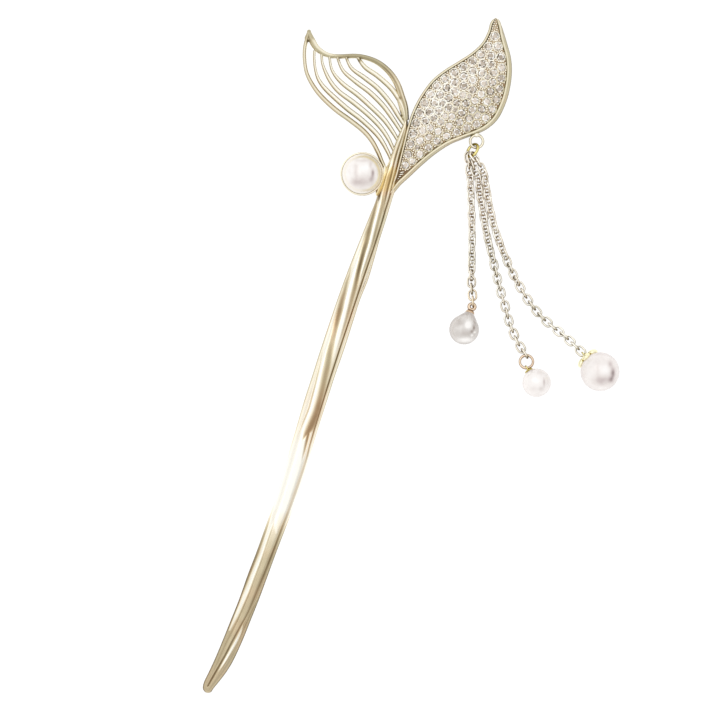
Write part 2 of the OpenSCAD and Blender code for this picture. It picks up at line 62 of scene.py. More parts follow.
# Painted shade and painted highlights that wind down the stem, columns [y, x, width, tone]. A dark
# tone is painted shade and is also cut in as a groove, and a light one is a painted highlight that
# also stands up a little.
STREAKS = [
    # the deep groove beside the right edge, painted dark as shade, from the fluke's tail down to the tip
    [[10, 11.3, 0.3, 0], [6, 9.75, 0.3, -0.15], [4.25, 9.3, 0.35, -0.35], [2.5, 8.95, 0.35, -0.4],
     [1, 8.6, 0.4, -0.5], [-0.5, 8.1, 0.4, -0.6], [-2, 7.75, 0.45, -0.8], [-3.5, 7.5, 0.45, -0.9],
     [-5, 7.1, 0.5, -0.95], [-7.2, 6.45, 0.5, -0.95], [-9.35, 5.75, 0.5, -1], [-11.5, 5.15, 0.55, -1],
     [-15.6, 3.85, 0.6, -1], [-19.2, 2.7, 0.6, -1], [-27.5, -0.15, 0.6, -1], [-37, -3.3, 0.5, -1],
     [-44, -5.65, 0.6, -1], [-51.7, -8.15, 0.6, -1], [-59.3, -10.5, 0.55, -0.95],
     [-64, -11.95, 0.55, -0.9], [-67.9, -13.1, 0.5, -0.7], [-71.9, -14.1, 0.8, -0.36],
     [-77.1, -15.85, 0.9, -0.32], [-83.35, -18.1, 0.8, -0.36], [-86.2, -19.15, 0.7, -0.45],
     [-88.2, -19.95, 0.7, -0.65], [-93.1, -21.75, 0.7, -0.85], [-97.35, -23.4, 0.75, -0.85],
     [-101.35, -25, 0.75, -0.7], [-103.65, -25.95, 0.7, -0.6], [-108.6, -28, 0.5, -0.55],
     [-110.7, -29, 0.5, -0.6], [-113.1, -30.4, 0.45, -0.65], [-117.35, -32.7, 0.45, -0.75],
     [-120.35, -34.2, 0.45, -0.75], [-122.7, -35.55, 0.5, -0.8], [-125.3, -37.05, 0.5, -0.9],
     [-128.1, -38.6, 0.45, -0.7]],
    # a painted shade line under the ridge, which runs into the deep groove
    [[13, 10.95, 0.3, 0], [11.2, 10.6, 0.35, -0.5], [6, 8.9, 0.5, -0.75], [4.25, 8.4, 0.5, -0.8],
     [2.5, 7.9, 0.5, -0.8], [1, 7.6, 0.5, -0.8], [-0.5, 7.25, 0.5, -0.85], [-2, 6.85, 0.5, -0.85],
     [-3.5, 6.4, 0.5, -0.85], [-5, 6.1, 0.5, -0.85], [-7, 5.7, 0.4, -0.6], [-9, 5.4, 0.3, -0.3],
     [-10.5, 5.2, 0.2, 0]],
    # soft olive band of painted shade on the right of the ridge, and its end beside the deep groove
    [[8, 9.2, 0.4, -0.2], [2, 7.4, 0.8, -0.4], [-2, 6.4, 1, -0.45], [-5, 5.5, 0.9, -0.45],
     [-7.65, 5.2, 0.9, -0.5], [-12.5, 4, 0.85, -0.55], [-17.25, 2.75, 0.6, -0.55],
     [-22, 1.15, 0.5, -0.5], [-26, -0.2, 0.3, -0.2]],
    # the first band of painted shade, olive at its darkest
    [[-4.5, 4.1, 0.3, -0.2], [-7.65, 3.5, 0.7, -0.6], [-10, 2.9, 0.9, -0.7], [-12.5, 2.2, 0.95, -0.75],
     [-14.9, 1.5, 1.4, -0.75], [-17.25, 1, 1.4, -0.8], [-19.75, 0.3, 1.15, -0.9],
     [-22.1, -0.3, 1.1, -1], [-24.5, -0.9, 1.05, -0.95], [-27, -1.4, 1.2, -0.8],
     [-29.5, -2, 1.2, -0.65], [-34, -3.15, 1, -0.55], [-37, -4, 0.8, -0.45], [-41, -5.2, 0.4, -0.3],
     [-44, -6.2, 0.3, 0]],
    # the second band of painted shade, brown, which ends in a short point and a long one
    [[-23.3, -2.75, 0.3, -0.2], [-25.25, -3.1, 0.45, -0.35], [-27, -3.8, 0.8, -0.5],
     [-29.4, -4.35, 1, -0.6], [-31.3, -4.95, 1.2, -0.65], [-34.2, -5.65, 1.5, -0.75],
     [-36.5, -6.25, 1.4, -0.75], [-39.2, -6.85, 1.2, -0.6], [-41.9, -7.45, 1.2, -0.6],
     [-44.5, -8, 1.7, -0.65], [-47.2, -8.4, 1.9, -0.65], [-49.9, -9, 1.8, -0.7],
     [-52.6, -9.6, 1.7, -0.68], [-55.3, -10.15, 1.7, -0.7], [-57.9, -10.8, 1.8, -0.75],
     [-60.6, -11.65, 2.1, -0.8], [-63.2, -12.75, 2.4, -0.85], [-64.5, -13.4, 2.1, -0.85],
     [-65.4, -14.3, 0.7, -0.8], [-67, -14.9, 0.3, 0]],
    [[-62, -12.7, 0.8, -0.8], [-65.5, -13.5, 0.8, -0.85], [-69, -14.3, 0.6, -0.6], [-72, -15, 0.3, 0]],
    # a fine painted shade line left of it
    [[-43, -9.5, 0.2, 0], [-47.2, -10.4, 0.35, -0.4], [-53.1, -11.8, 0.4, -0.5],
     [-58.75, -13.3, 0.45, -0.5], [-62.75, -15, 0.4, -0.45], [-66, -16.2, 0.2, 0]],
    # a faint painted shade down the brightest stretch, also cut in as a shallow hollow
    [[-68, -15.8, 0.6, 0], [-74.5, -17.6, 1, -0.06], [-80.8, -19.6, 1.1, -0.08],
     [-86, -21.4, 0.6, -0.05], [-88, -22.4, 0.3, 0]],
    # painted shade: an olive line down the left edge of the lower stem, and one beside the bright ridge
    [[-83, -22.1, 0.25, -0.2], [-88.75, -23.85, 0.45, -0.5], [-94.5, -26.05, 0.8, -0.55],
     [-100.2, -28.25, 0.8, -0.6], [-104.75, -30.05, 0.6, -0.55], [-109.9, -31.9, 0.4, -0.5],
     [-114, -33.5, 0.3, -0.3]],
    [[-87, -22, 0.2, 0], [-89.35, -22.8, 0.4, -0.35], [-93.65, -24.3, 0.4, -0.4],
     [-97.35, -25.4, 0.4, -0.4], [-100.75, -26.8, 0.4, -0.4], [-105, -28.3, 0.4, -0.4],
     [-111, -30.9, 0.4, -0.35], [-117, -33.9, 0.4, -0.3], [-124, -37, 0.3, -0.2]],
    # a painted shade line near the right edge of the tip
    [[-104, -25, 0.2, 0], [-109, -27.5, 0.4, -0.35], [-114, -29.7, 0.4, -0.35],
     [-118.6, -31.9, 0.4, -0.3], [-122.5, -34.2, 0.3, -0.3], [-126, -36.3, 0.2, 0]],
    # painted highlights, each on a slight ridge, from the top down
    [[13.6, 10.95, 0.45, 0.5], [12, 10.55, 0.65, 0.75], [9.4, 9.55, 0.7, 0.75], [6, 8.1, 0.8, 0.8],
     [4.25, 7.6, 0.7, 0.8], [2.5, 6.95, 1, 0.8], [1, 6.6, 0.9, 0.35], [-0.5, 6.1, 0.6, 0.15],
     [-2, 5.85, 0.6, 0.15], [-3.5, 5.1, 0.6, 0.35], [-5, 4.75, 0.7, 0.7], [-7.65, 4.3, 0.7, 0.9],
     [-12.5, 3.1, 0.7, 1], [-17.25, 1.95, 0.7, 1], [-19.75, 1.25, 0.8, 1], [-22.1, 0.5, 0.7, 1],
     [-24.5, -0.2, 0.5, 0.9], [-26.5, -0.8, 0.25, 0.4]],
    [[9, 10.2, 0.25, 0.15], [6, 9.3, 0.35, 0.45], [4.25, 8.85, 0.35, 0.5], [2.5, 8.4, 0.35, 0.45],
     [1, 8.1, 0.35, 0.4], [-0.5, 7.75, 0.35, 0.4], [-2, 7.35, 0.35, 0.45], [-3.5, 6.95, 0.35, 0.5],
     [-5, 6.6, 0.35, 0.5], [-7, 6.1, 0.25, 0.15]],
    [[-5, 3.4, 0.2, 0.2], [-9, 2.2, 0.4, 0.5], [-14, 0.5, 0.7, 0.8], [-19.2, -0.95, 0.9, 1],
     [-26.9, -2.6, 1.1, 1], [-37, -4.9, 1.05, 1], [-44, -6.85, 0.6, 0.9], [-49, -8.1, 0.3, 0.2]],
    [[-28, -5, 0.3, 0.5], [-37, -7.6, 0.9, 0.9], [-44, -9.3, 1, 0.95], [-51.7, -10.85, 0.9, 1],
     [-59.3, -12.95, 1, 0.95], [-64, -14.75, 1.2, 1], [-70, -16, 1.5, 1], [-86, -21.6, 1.6, 0.9],
     [-90, -21.4, 0.4, 0.5]],
    [[-84, -22.4, 0.6, 0.9], [-87.75, -22.85, 1.1, 1], [-94.5, -24.95, 1, 1], [-100.2, -27.2, 1.2, 1],
     [-103.2, -28.3, 1.2, 1], [-109.9, -31.2, 1, 1], [-114, -33.1, 0.5, 0.5]],
    [[-112.8, -29.8, 0.2, 0.3], [-114.1, -30.2, 0.5, 0.8], [-116.1, -31.05, 0.75, 1],
     [-118, -32.1, 0.8, 1], [-119.9, -33.2, 0.75, 1], [-121.9, -34.35, 0.65, 1],
     [-123.35, -35.3, 0.45, 0.7], [-124.5, -36, 0.2, 0.1]],
]

# Painted light and shade of the stem between its streaks, columns [y, left of the deep groove, right
# of it, at both edges, warmth]. The edge column paints an outline, mostly dark as shade, and tones
# near 1 are a painted highlight over the brightest stretch.
STEM_TONE = [
    [14, 0.05, 0, -0.4, 0.3], [5, 0.05, 0.25, -0.3, 0.3], [2, 0.2, 0.3, -0.2, 0.3],
    [-1, 0, 0.3, -0.2, 0.3], [-5, 0.15, 0.45, -0.3, 0.2], [-12, 0.45, 0.5, -0.45, 0],
    [-24, 0.55, 0.6, -0.45, 0], [-30, 0.55, 0.6, -0.4, 0.3], [-36, 0.55, 0.6, -0.4, 0.8],
    [-44, 0.65, 0.6, -0.35, 0.1], [-52, 0.65, 0.6, -0.35, 0.4], [-56, 0.65, 0.65, -0.3, 0.9],
    [-67, 0.85, 0.8, 0.3, 1], [-71, 1, 1, 0.9, 1], [-84, 1, 1, 0.9, 1], [-89, 0.35, 0.35, -0.4, 0.4],
    [-95, -0.03, -0.06, -0.85, 0.3], [-105, -0.16, -0.18, -1, 0.4], [-130, -0.22, -0.2, -1, 0.3],
]

# Lower rim of the openwork fluke, columns [x, y, width]
LOWER_RIM = [
    [-13.2, 35.6, 0.9], [-13.9, 33.4, 0.9], [-14.3, 31.4, 0.9], [-14.35, 28.9, 0.9],
    [-13.8, 25.3, 0.95], [-12.05, 21.85, 1.05], [-9.7, 18.95, 1.15], [-6.4, 15.95, 1.2],
    [-3.15, 13.6, 1.2], [0.3, 10.85, 1.2], [2.45, 8.35, 1.15], [4, 5.5, 1.1], [5.1, 2.9, 1],
    [6.2, 0.5, 0.9],
]

# Upper rim of the openwork fluke, columns [x, y, width]
UPPER_RIM = [
    [-13.3, 35.5, 1], [-12.5, 33.4, 1.6], [-11.2, 31.35, 1.5], [-8.7, 29.8, 1.2], [-5.9, 29.4, 1.1],
    [-1.6, 29.5, 1.15], [1.5, 28.95, 1.2], [4.35, 27.65, 1.35], [6.95, 25.35, 1.5], [8.75, 22.6, 1.6],
    [9.9, 19.5, 1.6], [10.8, 16.6, 1.5], [11.2, 13.5, 1.1],
]

# Veins of the openwork fluke, from the upper rim to the stem, columns [x, y, width]
VEINS = [
    [[-11.9, 30.9, 0.6], [-11.9, 28.5, 0.65], [-11.6, 26, 0.7], [-10.75, 23.5, 0.9],
     [-8.75, 20.9, 1.1], [-4, 16.6, 1.2], [0, 13.5, 1.2], [4.1, 9.5, 1.15], [6.6, 5.25, 0.9],
     [7.3, 3.2, 0.7]],
    [[-10.1, 30, 0.6], [-9.8, 27.4, 0.7], [-8.25, 23.75, 0.95], [-5.9, 20.75, 1.1], [-2.25, 18, 1.2],
     [1.4, 15, 1.2], [4.4, 12, 1.15], [6.5, 9, 1], [8, 5.9, 0.8]],
    [[-8.15, 29.4, 0.6], [-7.4, 25.85, 0.75], [-5, 22.8, 1.05], [-1, 19.75, 1.2], [2.6, 16.5, 1.2],
     [5.6, 13.5, 1.15], [7.75, 10.5, 1], [9.1, 8.2, 0.8]],
    [[-6.2, 29.3, 0.6], [-4.7, 25.85, 0.85], [-1.6, 23.1, 1.1], [2, 20.4, 1.2], [5.3, 17.1, 1.2],
     [7.75, 13.75, 1.1], [9.8, 10.6, 0.9]],
    [[-4.05, 29.4, 0.6], [-2.55, 26.45, 0.9], [0.75, 24, 1.15], [4.1, 21.3, 1.2], [7.15, 17.7, 1.2],
     [9.25, 14.35, 1.1], [10.6, 12.3, 0.9]],
    [[-1.3, 29.5, 0.7], [0.75, 26.75, 1.1], [3.8, 24.6, 1.2], [6.85, 21.9, 1.2], [8.7, 19.5, 1.15],
     [10.2, 16.75, 1.1], [10.9, 14, 1]],
]

# Edge of the stone fluke that faces the openwork fluke, from its point down, columns [x, y]
INNER_EDGE = [
    [33.4, 38.95], [32.6, 38.5], [31.95, 37.4], [31.45, 35.5], [30, 32.8], [27.5, 30.4],
    [24.25, 28.25], [20.85, 26.15], [17.8, 23.75], [15.4, 20.75], [13.6, 17.75], [12.25, 14.65],
    [11.2, 11.3], [10.3, 7.7], [9.25, 3.5], [8.2, -0.5], [6.9, -4.6],
]

# Outer and lower edge of the stone fluke, from its point down, columns [x, y]
OUTER_EDGE = [
    [33.4, 38.95], [34.2, 38.5], [34.8, 37.4], [35.4, 35.7], [36.4, 32.4], [37.3, 28.9], [37.5, 25.25],
    [37, 21.3], [36, 17.75], [34.2, 14], [31.8, 11.6], [29.2, 10.2], [25.75, 8.9], [22.1, 7.4],
    [18.4, 5], [15.1, 2.25], [11.9, -0.75], [9.5, -3], [7.3, -5.8],
]

# Flukes: how high they lie, and how much of the outer wall shows from above
FLUKE_LIFT = 0.4
OPENWORK_T = 1.6
TRAY_T = 2.2
TRAY_DEPTH = 0.6
TRAY_TOP = FLUKE_LIFT + TRAY_T
TRAY_FLOOR = TRAY_TOP - TRAY_DEPTH
WALL_SHOW = 0.65

STONE_R = 0.95
STONE_CROWN = 0.3
STONE_DEPTH = 0.56

CUP_R = 5.45
CUP_H = 3.2
CUP_WALL = 0.35
CUP_PEARL_R = 5

# The soldered ring and the jump ring, with its turn and lean in degrees
LOOP_AT = Vector((28.65, 8.15, 1.4))
LOOP_R = 1.6
LOOP_WIRE = 0.66
JUMP_AT = Vector((27.65, 5.9, 1.76))
JUMP_R = 1.75
JUMP_WIRE = 0.6
JUMP_TURN = -35
JUMP_LEAN = -55

LINK_L = 2.9
LINK_W = 2.1
LINK_D = 0.42

# Drops: each pearl has its middle, the way that its cap points, and its eye's height on that way
DROP_WIRE = 0.46
EYE_R = 0.64
EYE_WIRE = 0.38
GAP = 0.1
CAP_T = 0.3

TEARDROP_R = 3.75
TEARDROP_AT = Vector((25.5, -38.9, TEARDROP_R))
TEARDROP_WAY = Vector((0.32, 0.92, -0.22))
TEARDROP_TIP = 4.9
TEARDROP_NECK = 0.85
TEARDROP_FLANK = 37
TEARDROP_CAP_H = 0.35
TEARDROP_EYE_R = 0.85
TEARDROP_EYE = TEARDROP_TIP + GAP + TEARDROP_CAP_H + TEARDROP_EYE_R

SMALL_R = 3.6
SMALL_AT = Vector((43.6, -52.2, SMALL_R))
SMALL_WAY = Vector((-0.5, 0.79, -0.35))
SMALL_EYE = SMALL_R + GAP + CAP_T + EYE_R
SMALL_RING_R = 1.65
SMALL_RING_WAY = Vector((-0.1, 0.92, -0.2))

LARGE_R = 4.9
LARGE_AT = Vector((59.4, -49.4, LARGE_R))
LARGE_WAY = Vector((-0.65, 0.7, -0.27))
LARGE_STALK = 0.2
LARGE_EYE = LARGE_R + GAP + CAP_T + LARGE_STALK + EYE_R

# Wires as they show, a little fuller than in the part
JUMP_SHOW = JUMP_WIRE + 0.1
LINK_SHOW = LINK_D + 0.08
SMALL_RING_SHOW = DROP_WIRE + 0.14
TEARDROP_EYE_SHOW = DROP_WIRE + 0.38


# Colours and finishes


def srgb(red, green, blue):
    """A colour as the eye names it, 0 to 255, as the linear colour that a shader takes."""
    parts = [c / 255 for c in (red, green, blue)]
    return [c / 12.92 if c < 0.04045 else ((c + 0.055) / 1.055) ** 2.4 for c in parts] + [1]


def even_stops(colours):
    """A ramp's stops, evenly spaced."""
    return [(i / (len(colours) - 1), colour) for i, colour in enumerate(colours)]


class Value:
    """An output socket. Plain sums on it add Math nodes."""

    def __init__(self, nodes, socket):
        self.nodes = nodes
        self.socket = socket

    def __add__(self, other):
        return self.nodes.sum("ADD", self, other)

    def __sub__(self, other):
        return self.nodes.sum("SUBTRACT", self, other)

    def __mul__(self, other):
        return self.nodes.sum("MULTIPLY", self, other)


class Nodes:
    """The nodes of one material or of the world."""

    def __init__(self, tree):
        self.tree = tree

    def feed(self, node, inputs):
        """Feeds a node's inputs, by name or place, with sockets and constants."""
        for name, value in inputs.items():
            if isinstance(value, Value):
                self.tree.links.new(value.socket, node.inputs[name])
            else:
                node.inputs[name].default_value = value

    def add(self, kind, settings, inputs, out=0):
        """Adds a node, makes its settings, then feeds its inputs."""
        node = self.tree.nodes.new(kind)
        for name, value in settings.items():
            if name == "stops":
                while len(node.color_ramp.elements) < len(value):
                    node.color_ramp.elements.new(0.5)
                for element, (position, colour) in zip(node.color_ramp.elements, value):
                    element.position = position
                    element.color = colour
            else:
                setattr(node, name, value)
        self.feed(node, inputs)
        return Value(self, node.outputs[out])

    def sum(self, operation, a, b):
        return self.add("ShaderNodeMath", {"operation": operation}, {0: a, 1: b})

    def mix(self, factor, a, b):
        """A colour between two, by a factor."""
        return self.add("ShaderNodeMix", {"data_type": "RGBA"}, {0: factor, 6: a, 7: b}, 2)

    def ramp(self, colours, level):
        """A colour from an even ramp of colours, by a level from 0 to 1."""
        return self.add("ShaderNodeValToRGB", {"stops": even_stops(colours)}, {"Fac": level})

    def noise(self, scale, detail):
        """Soft clouds about 0.5, finer with a larger scale."""
        place = self.add("ShaderNodeTexCoord", {}, {}, "Object")
        return self.add("ShaderNodeTexNoise", {}, {"Vector": place, "Scale": scale, "Detail": detail})

    def painted(self, name):
        """A level that is painted on the mesh, the tone or the warmth."""
        return self.add("ShaderNodeAttribute", {"attribute_name": name}, {}, "Fac")

    def span(self, value, low, high, to_low=0, to_high=1, kind="SMOOTHSTEP"):
        """A value's run from low to high as a run between two others, and level beyond its ends."""
        return self.add("ShaderNodeMapRange", {"interpolation_type": kind}, {
            "Value": value, "From Min": low, "From Max": high, "To Min": to_low, "To Max": to_high,
        })

    def bump(self, height, strength, distance):
        return self.add("ShaderNodeBump", {}, {
            "Height": height, "Strength": strength, "Distance": distance,
        })


def finish(name, inputs):
    """A new material with the same values all over its shader, and its nodes and shader."""
    material = bpy.data.materials.new(name)
    material.use_nodes = True
    shader = material.node_tree.nodes["Principled BSDF"]
    nodes = Nodes(material.node_tree)
    nodes.feed(shader, inputs)
    return material, nodes, shader


def shades(*colours):
    """Colours as the eye names them, as a ramp takes them."""
    return [srgb(*colour) for colour in colours]


CLOUD_SCALE = 300
CLOUD_TONE = 0.12
GRAIN_SCALE = 2600
GRAIN_TONE = 0.05
DRIFT_SCALE = 140
DRIFT_MOST = 0.35
# Tones from which the metal shines fully, and at which its painted shade is darkest, with what is then
# left of its shine
BRIGHT_FROM = -0.1
DARKEST_SHADE_TONE = -0.8
DARKEST_SHADE_SHINE = 0.3
# Amber, which the warmth reaches from 1 to 2: the painted amber glow beside the cup, and a touch of it on
# the beads and the short chain's last link
AMBER = shades((122, 96, 56), (186, 158, 104), (216, 192, 138), (243, 224, 174), (255, 250, 232))


def polished_gold(name, plain, warm, roughness=0.2):
    """Polished plating. Painted light and shade lie on the metal as its tone, from painted shade in
    recesses to painted highlights on ridges, and its colour drifts towards the warmer shades in soft
    clouds and where it is painted warm. Painted from 1 to 2, it goes on to amber. Where the painted
    shade is darkest, the metal shines less."""
    material, nodes, shader = finish(name, {"Specular IOR Level": 0.1})
    cloud = nodes.noise(CLOUD_SCALE, 2)
    grain = (nodes.noise(GRAIN_SCALE, 4) - 0.5) * GRAIN_TONE
    tone = nodes.painted("tone")
    warmth = nodes.painted("warmth")
    level = tone * 0.5 + 0.5 + (cloud - 0.5) * CLOUD_TONE + grain
    drift = nodes.span(nodes.noise(DRIFT_SCALE, 1), 0.4, 0.62, 0, DRIFT_MOST)
    colour = nodes.mix(drift + warmth, nodes.ramp(plain, level), nodes.ramp(warm, level))
    nodes.feed(shader, {
        "Base Color": nodes.mix(warmth - 1, colour, nodes.ramp(AMBER, level)),
        "Metallic": nodes.span(tone, DARKEST_SHADE_TONE, BRIGHT_FROM, DARKEST_SHADE_SHINE, 1, "LINEAR"),
        "Roughness": grain + roughness,
        "Normal": nodes.bump(cloud, 0.1, 0.0002),
    })
    return material


CHAMPAGNE = polished_gold(
    "champagne_gold",
    shades((96, 84, 55), (161, 151, 119), (206, 197, 166), (240, 232, 209), (255, 253, 242)),
    shades((108, 78, 48), (176, 146, 112), (214, 194, 162), (244, 231, 209), (255, 252, 241)),
)
CHAIN_GOLD = polished_gold(
    "chain_gold",
    shades((106, 95, 68), (163, 150, 121), (211, 202, 179), (245, 240, 226), (255, 254, 248)),
    shades((124, 95, 64), (184, 158, 128), (224, 204, 178), (250, 239, 221), (255, 254, 246)),
    roughness=0.24,
)
YELLOW = polished_gold(
    "yellow_gold",
    shades((116, 96, 30), (180, 160, 76), (224, 210, 126), (250, 240, 184), (255, 253, 234)),
    shades((122, 90, 30), (186, 156, 76), (228, 206, 128), (252, 238, 184), (255, 252, 232)),
)
ROSE = polished_gold(
    "rose_gold",
    shades((104, 76, 50), (156, 122, 90), (206, 178, 144), (238, 219, 195), (255, 250, 238)),
    shades((114, 76, 52), (164, 122, 94), (212, 175, 147), (242, 216, 195), (255, 248, 240)),
)


def pearl_lustre(name, *colours):
    """Pearl lacquer: soft painted clouds of reflection under a clear glossy coat, and a painted
    reflection of gold where it is painted warm, beside its cup."""
    material, nodes, shader = finish(name, {
        "Metallic": 0.12, "Roughness": 0.28, "Coat Weight": 1, "Coat Roughness": 0.1, "Coat IOR": 1.4,
        "Specular IOR Level": 0.3,
    })
    clouds = (nodes.noise(230, 2) - 0.5) * 0.16 + (nodes.noise(900, 2) - 0.5) * 0.2
    level = nodes.painted("tone") * 0.5 + 0.5 + clouds
    # The cup's gold, as a painted reflection in the pearl's edge
    gold = srgb(234, 218, 174)
    nodes.feed(shader, {
        "Base Color": nodes.mix(nodes.painted("warmth"), nodes.ramp(shades(*colours), level), gold),
        "Normal": nodes.bump(nodes.noise(420, 2), 0.03, 0.0003),
    })
    return material


CUP_PEARL = pearl_lustre(
    "cup_pearl", (146, 126, 124), (192, 178, 176), (222, 212, 208), (241, 235, 231), (255, 253, 251),
)
DROP_PEARL = pearl_lustre(
    "drop_pearl", (150, 134, 132), (204, 191, 189), (231, 223, 219), (246, 241, 238), (255, 253, 251),
)
GREY_PEARL = pearl_lustre(
    "grey_pearl", (124, 104, 90), (176, 166, 159), (208, 202, 197), (228, 224, 220), (250, 247, 244),
)


def cut_stone(name, *colours):
    """Foil-backed stone: each facet has its own painted brightness, a painted glint or dark reflection,
    under a clear glassy coat.
    """
    material, nodes, shader = finish(name, {
        "Metallic": 0.5, "Roughness": 0.08, "Coat Weight": 1, "Coat Roughness": 0.02, "Coat IOR": 1.7,
    })
    nodes.feed(shader, {"Base Color": nodes.ramp(shades(*colours), nodes.painted("tone"))})
    return material


STONE = cut_stone(
    "cut_stone", (96, 82, 60), (164, 149, 129), (214, 201, 185), (243, 234, 224), (255, 254, 250),
)


# Shapes


def between(a, b, c, d, t):
    """A point between b and c on the smooth curve through a, b, c and d."""
    return 0.5 * (2 * b + (c - a) * t + (2 * a - 5 * b + 4 * c - d) * t * t
                  + (3 * b - a - 3 * c + d) * t * t * t)


def curve(rows, steps):
    """A smooth curve through a table's rows."""
    rows = np.array(rows, float)
    last = len(rows) - 1
    points = [
        between(rows[max(i - 1, 0)], rows[i], rows[i + 1], rows[min(i + 2, last)], k / steps)
        for i in range(last) for k in range(steps)
    ]
    return np.array(points + [rows[last]])


def evenly(points, count):
    """The same curve with its points evenly spaced."""
    far = np.concatenate([[0], np.cumsum(np.linalg.norm(np.diff(points[:, :2], axis=0), axis=1))])
    stops = np.linspace(0, far[-1], count)
    return np.stack([np.interp(stops, far, points[:, k]) for k in range(points.shape[1])], 1)


def lefts(points):
    """The unit vectors on the left of a flat curve, at each of its points."""
    way = np.gradient(points[:, :2], axis=0)
    way /= np.linalg.norm(way, axis=1)[:, None]
    return np.stack([-way[:, 1], way[:, 0]], 1)


def rounded(rows, step=0.25, reach=6):
    """A table read at even steps of its first column, with its corners rounded off."""
    rows = np.array(rows, float)
    rows = rows[np.argsort(rows[:, 0])]
    stops = np.arange(rows[0, 0], rows[-1, 0] + step, step)
    weights = np.hanning(2 * reach + 3)[1:-1]
    weights /= weights.sum()
    columns = [stops]
    for k in range(1, rows.shape[1]):
        column = np.pad(np.interp(stops, rows[:, 0], rows[:, k]), reach, "reflect", reflect_type="odd")
        columns.append(np.convolve(column, weights, "valid"))
    return np.stack(columns, 1)


def smooth_step(low, high, x):
    """0 up to low and 1 from high on, with a smooth rise between. Low may be the higher one."""
    t = np.clip((x - low) / (high - low), 0, 1)
    return t * t * (3 - 2 * t)


def hump(x, at, width):
    """A smooth hump, 1 at its middle and nearly 0 at twice its width from there."""
    return np.exp(-((x - at) / width) ** 2)


def egg(at, half_sizes, turn=0):
    """Takes a ball of radius 1 to a place as an egg, turned about Z."""
    return Matrix.Translation(at) @ Matrix.Rotation(turn, 4, "Z") @ Matrix.Diagonal((*half_sizes, 1))


def pointing(at, way):
    """Takes a shape made about Z to a place, with its Z along a way."""
    way = way.normalized()
    lean = Matrix.Rotation(math.acos(way.z), 4, "Y")
    return Matrix.Translation(at) @ Matrix.Rotation(math.atan2(way.y, way.x), 4, "Z") @ lean


SPARE = bpy.data.meshes.new("spare")
MERGE = 1e-4


class Piece:
    """A piece in the making. Each part of it is a mesh with a tone, which carries painted light and
    shade, and a warmth at each corner, made about the origin, and joined to the piece when it is put
    in its place."""

    def __init__(self):
        self.whole = bmesh.new()
        self.start()

    def start(self):
        """Starts an empty part."""
        self.mesh = bmesh.new()
        self.tone = self.mesh.verts.layers.float.new("tone")
        self.warmth = self.mesh.verts.layers.float.new("warmth")

    def put(self, turn=Matrix.Identity(4), tone=None, warmth=None):
        """Paints the part with a tone and a warmth by place, moves it and joins it to the piece."""
        for layer, paint in ((self.tone, tone), (self.warmth, warmth)):
            for corner in self.mesh.verts if paint else []:
                corner[layer] = paint(corner.co)
        self.mesh.transform(turn)
        self.mesh.to_mesh(SPARE)
        self.mesh.free()
        self.whole.from_mesh(SPARE)
        self.start()

    def merge(self):
        bmesh.ops.remove_doubles(self.mesh, verts=self.mesh.verts[:], dist=MERGE)

    def cap_holes(self):
        rims = [edge for edge in self.mesh.edges if edge.is_boundary]
        bmesh.ops.holes_fill(self.mesh, edges=rims, sides=0)

    def turned(self, steps):
        """Turns what the part holds once about Z."""
        bmesh.ops.spin(self.mesh, geom=self.mesh.verts[:] + self.mesh.edges[:], cent=(0, 0, 0),
                       axis=(0, 0, 1), angle=2 * math.pi, steps=steps, use_merge=True)

    def skin(self, points, tones, warmth=None, closed_along=False):
        """Adds a tube. Its corners are tables of points, tones and warmth, row by row along the
        tube, and each row ends where it starts."""
        along, across = len(points) - 1, len(points[0]) - 1
        bmesh.ops.create_grid(self.mesh, x_segments=across, y_segments=along, size=0.5)
        for corner in self.mesh.verts:
            i, j = round((corner.co.x + 0.5) * across), round((corner.co.y + 0.5) * along)
            corner.co = points[j][i]
            corner[self.tone] = tones[j][i]
            corner[self.warmth] = 0 if warmth is None else warmth[j][i]
        self.merge()
        if not closed_along:
            self.cap_holes()
        self.put()

    def spin(self, profile, turn=Matrix.Identity(4), steps=48, tone=None, warmth=None):
        """Adds a lathed shape: the profile's points, as [radius, height], turned about Z."""
        corners = [self.mesh.verts.new((r, 0, z)) for r, z in profile]
        for pair in zip(corners, corners[1:]):
            self.mesh.edges.new(pair)
        self.turned(steps)
        self.merge()
        self.put(turn, tone, warmth)

    def ring(self, radius, wire, turn, sides, steps, tone):
        """Adds a closed ring of round wire about Z."""
        bmesh.ops.create_circle(self.mesh, segments=sides, radius=wire / 2)
        self.mesh.transform(Matrix.Translation((radius, 0, 0)) @ Matrix.Rotation(math.pi / 2, 4, "X"))
        self.turned(steps)
        self.put(turn, tone)

    def ball(self, turn, sides, rings, tone, warmth=None):
        """Adds a ball of radius 1, which its turn makes an egg."""
        bmesh.ops.create_uvsphere(self.mesh, u_segments=sides, v_segments=rings, radius=1)
        self.put(turn, tone, warmth)

    def done(self, name, material, node, smooth=True):
        """Makes the piece an object in metres, which rides on the root and stands for a CAD node."""
        self.mesh.free()
        bmesh.ops.recalc_face_normals(self.whole, faces=self.whole.faces[:])
        self.whole.transform(Matrix.Scale(MM, 4))
        for face in self.whole.faces:
            face.smooth = smooth
        data = bpy.data.meshes.new(name)
        self.whole.to_mesh(data)
        self.whole.free()
        made = bpy.data.objects.new(name, data)
        bpy.context.scene.collection.objects.link(made)
        data.materials.append(material)
        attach(made, "root")
        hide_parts(node)

    def cast(self, name):
        """Finishes the piece as a part of the casting."""
        self.done(name, CHAMPAGNE, "cast_stick")


# Stem

STEM_LINE = curve(STEM, 18)
STREAK_LINES = [rounded(rows) for rows in STREAKS]
BASE_TONE = rounded(STEM_TONE)
TOP_STEPS = 96
BACK_STEPS = 12
BACK_LIFT = 0.1
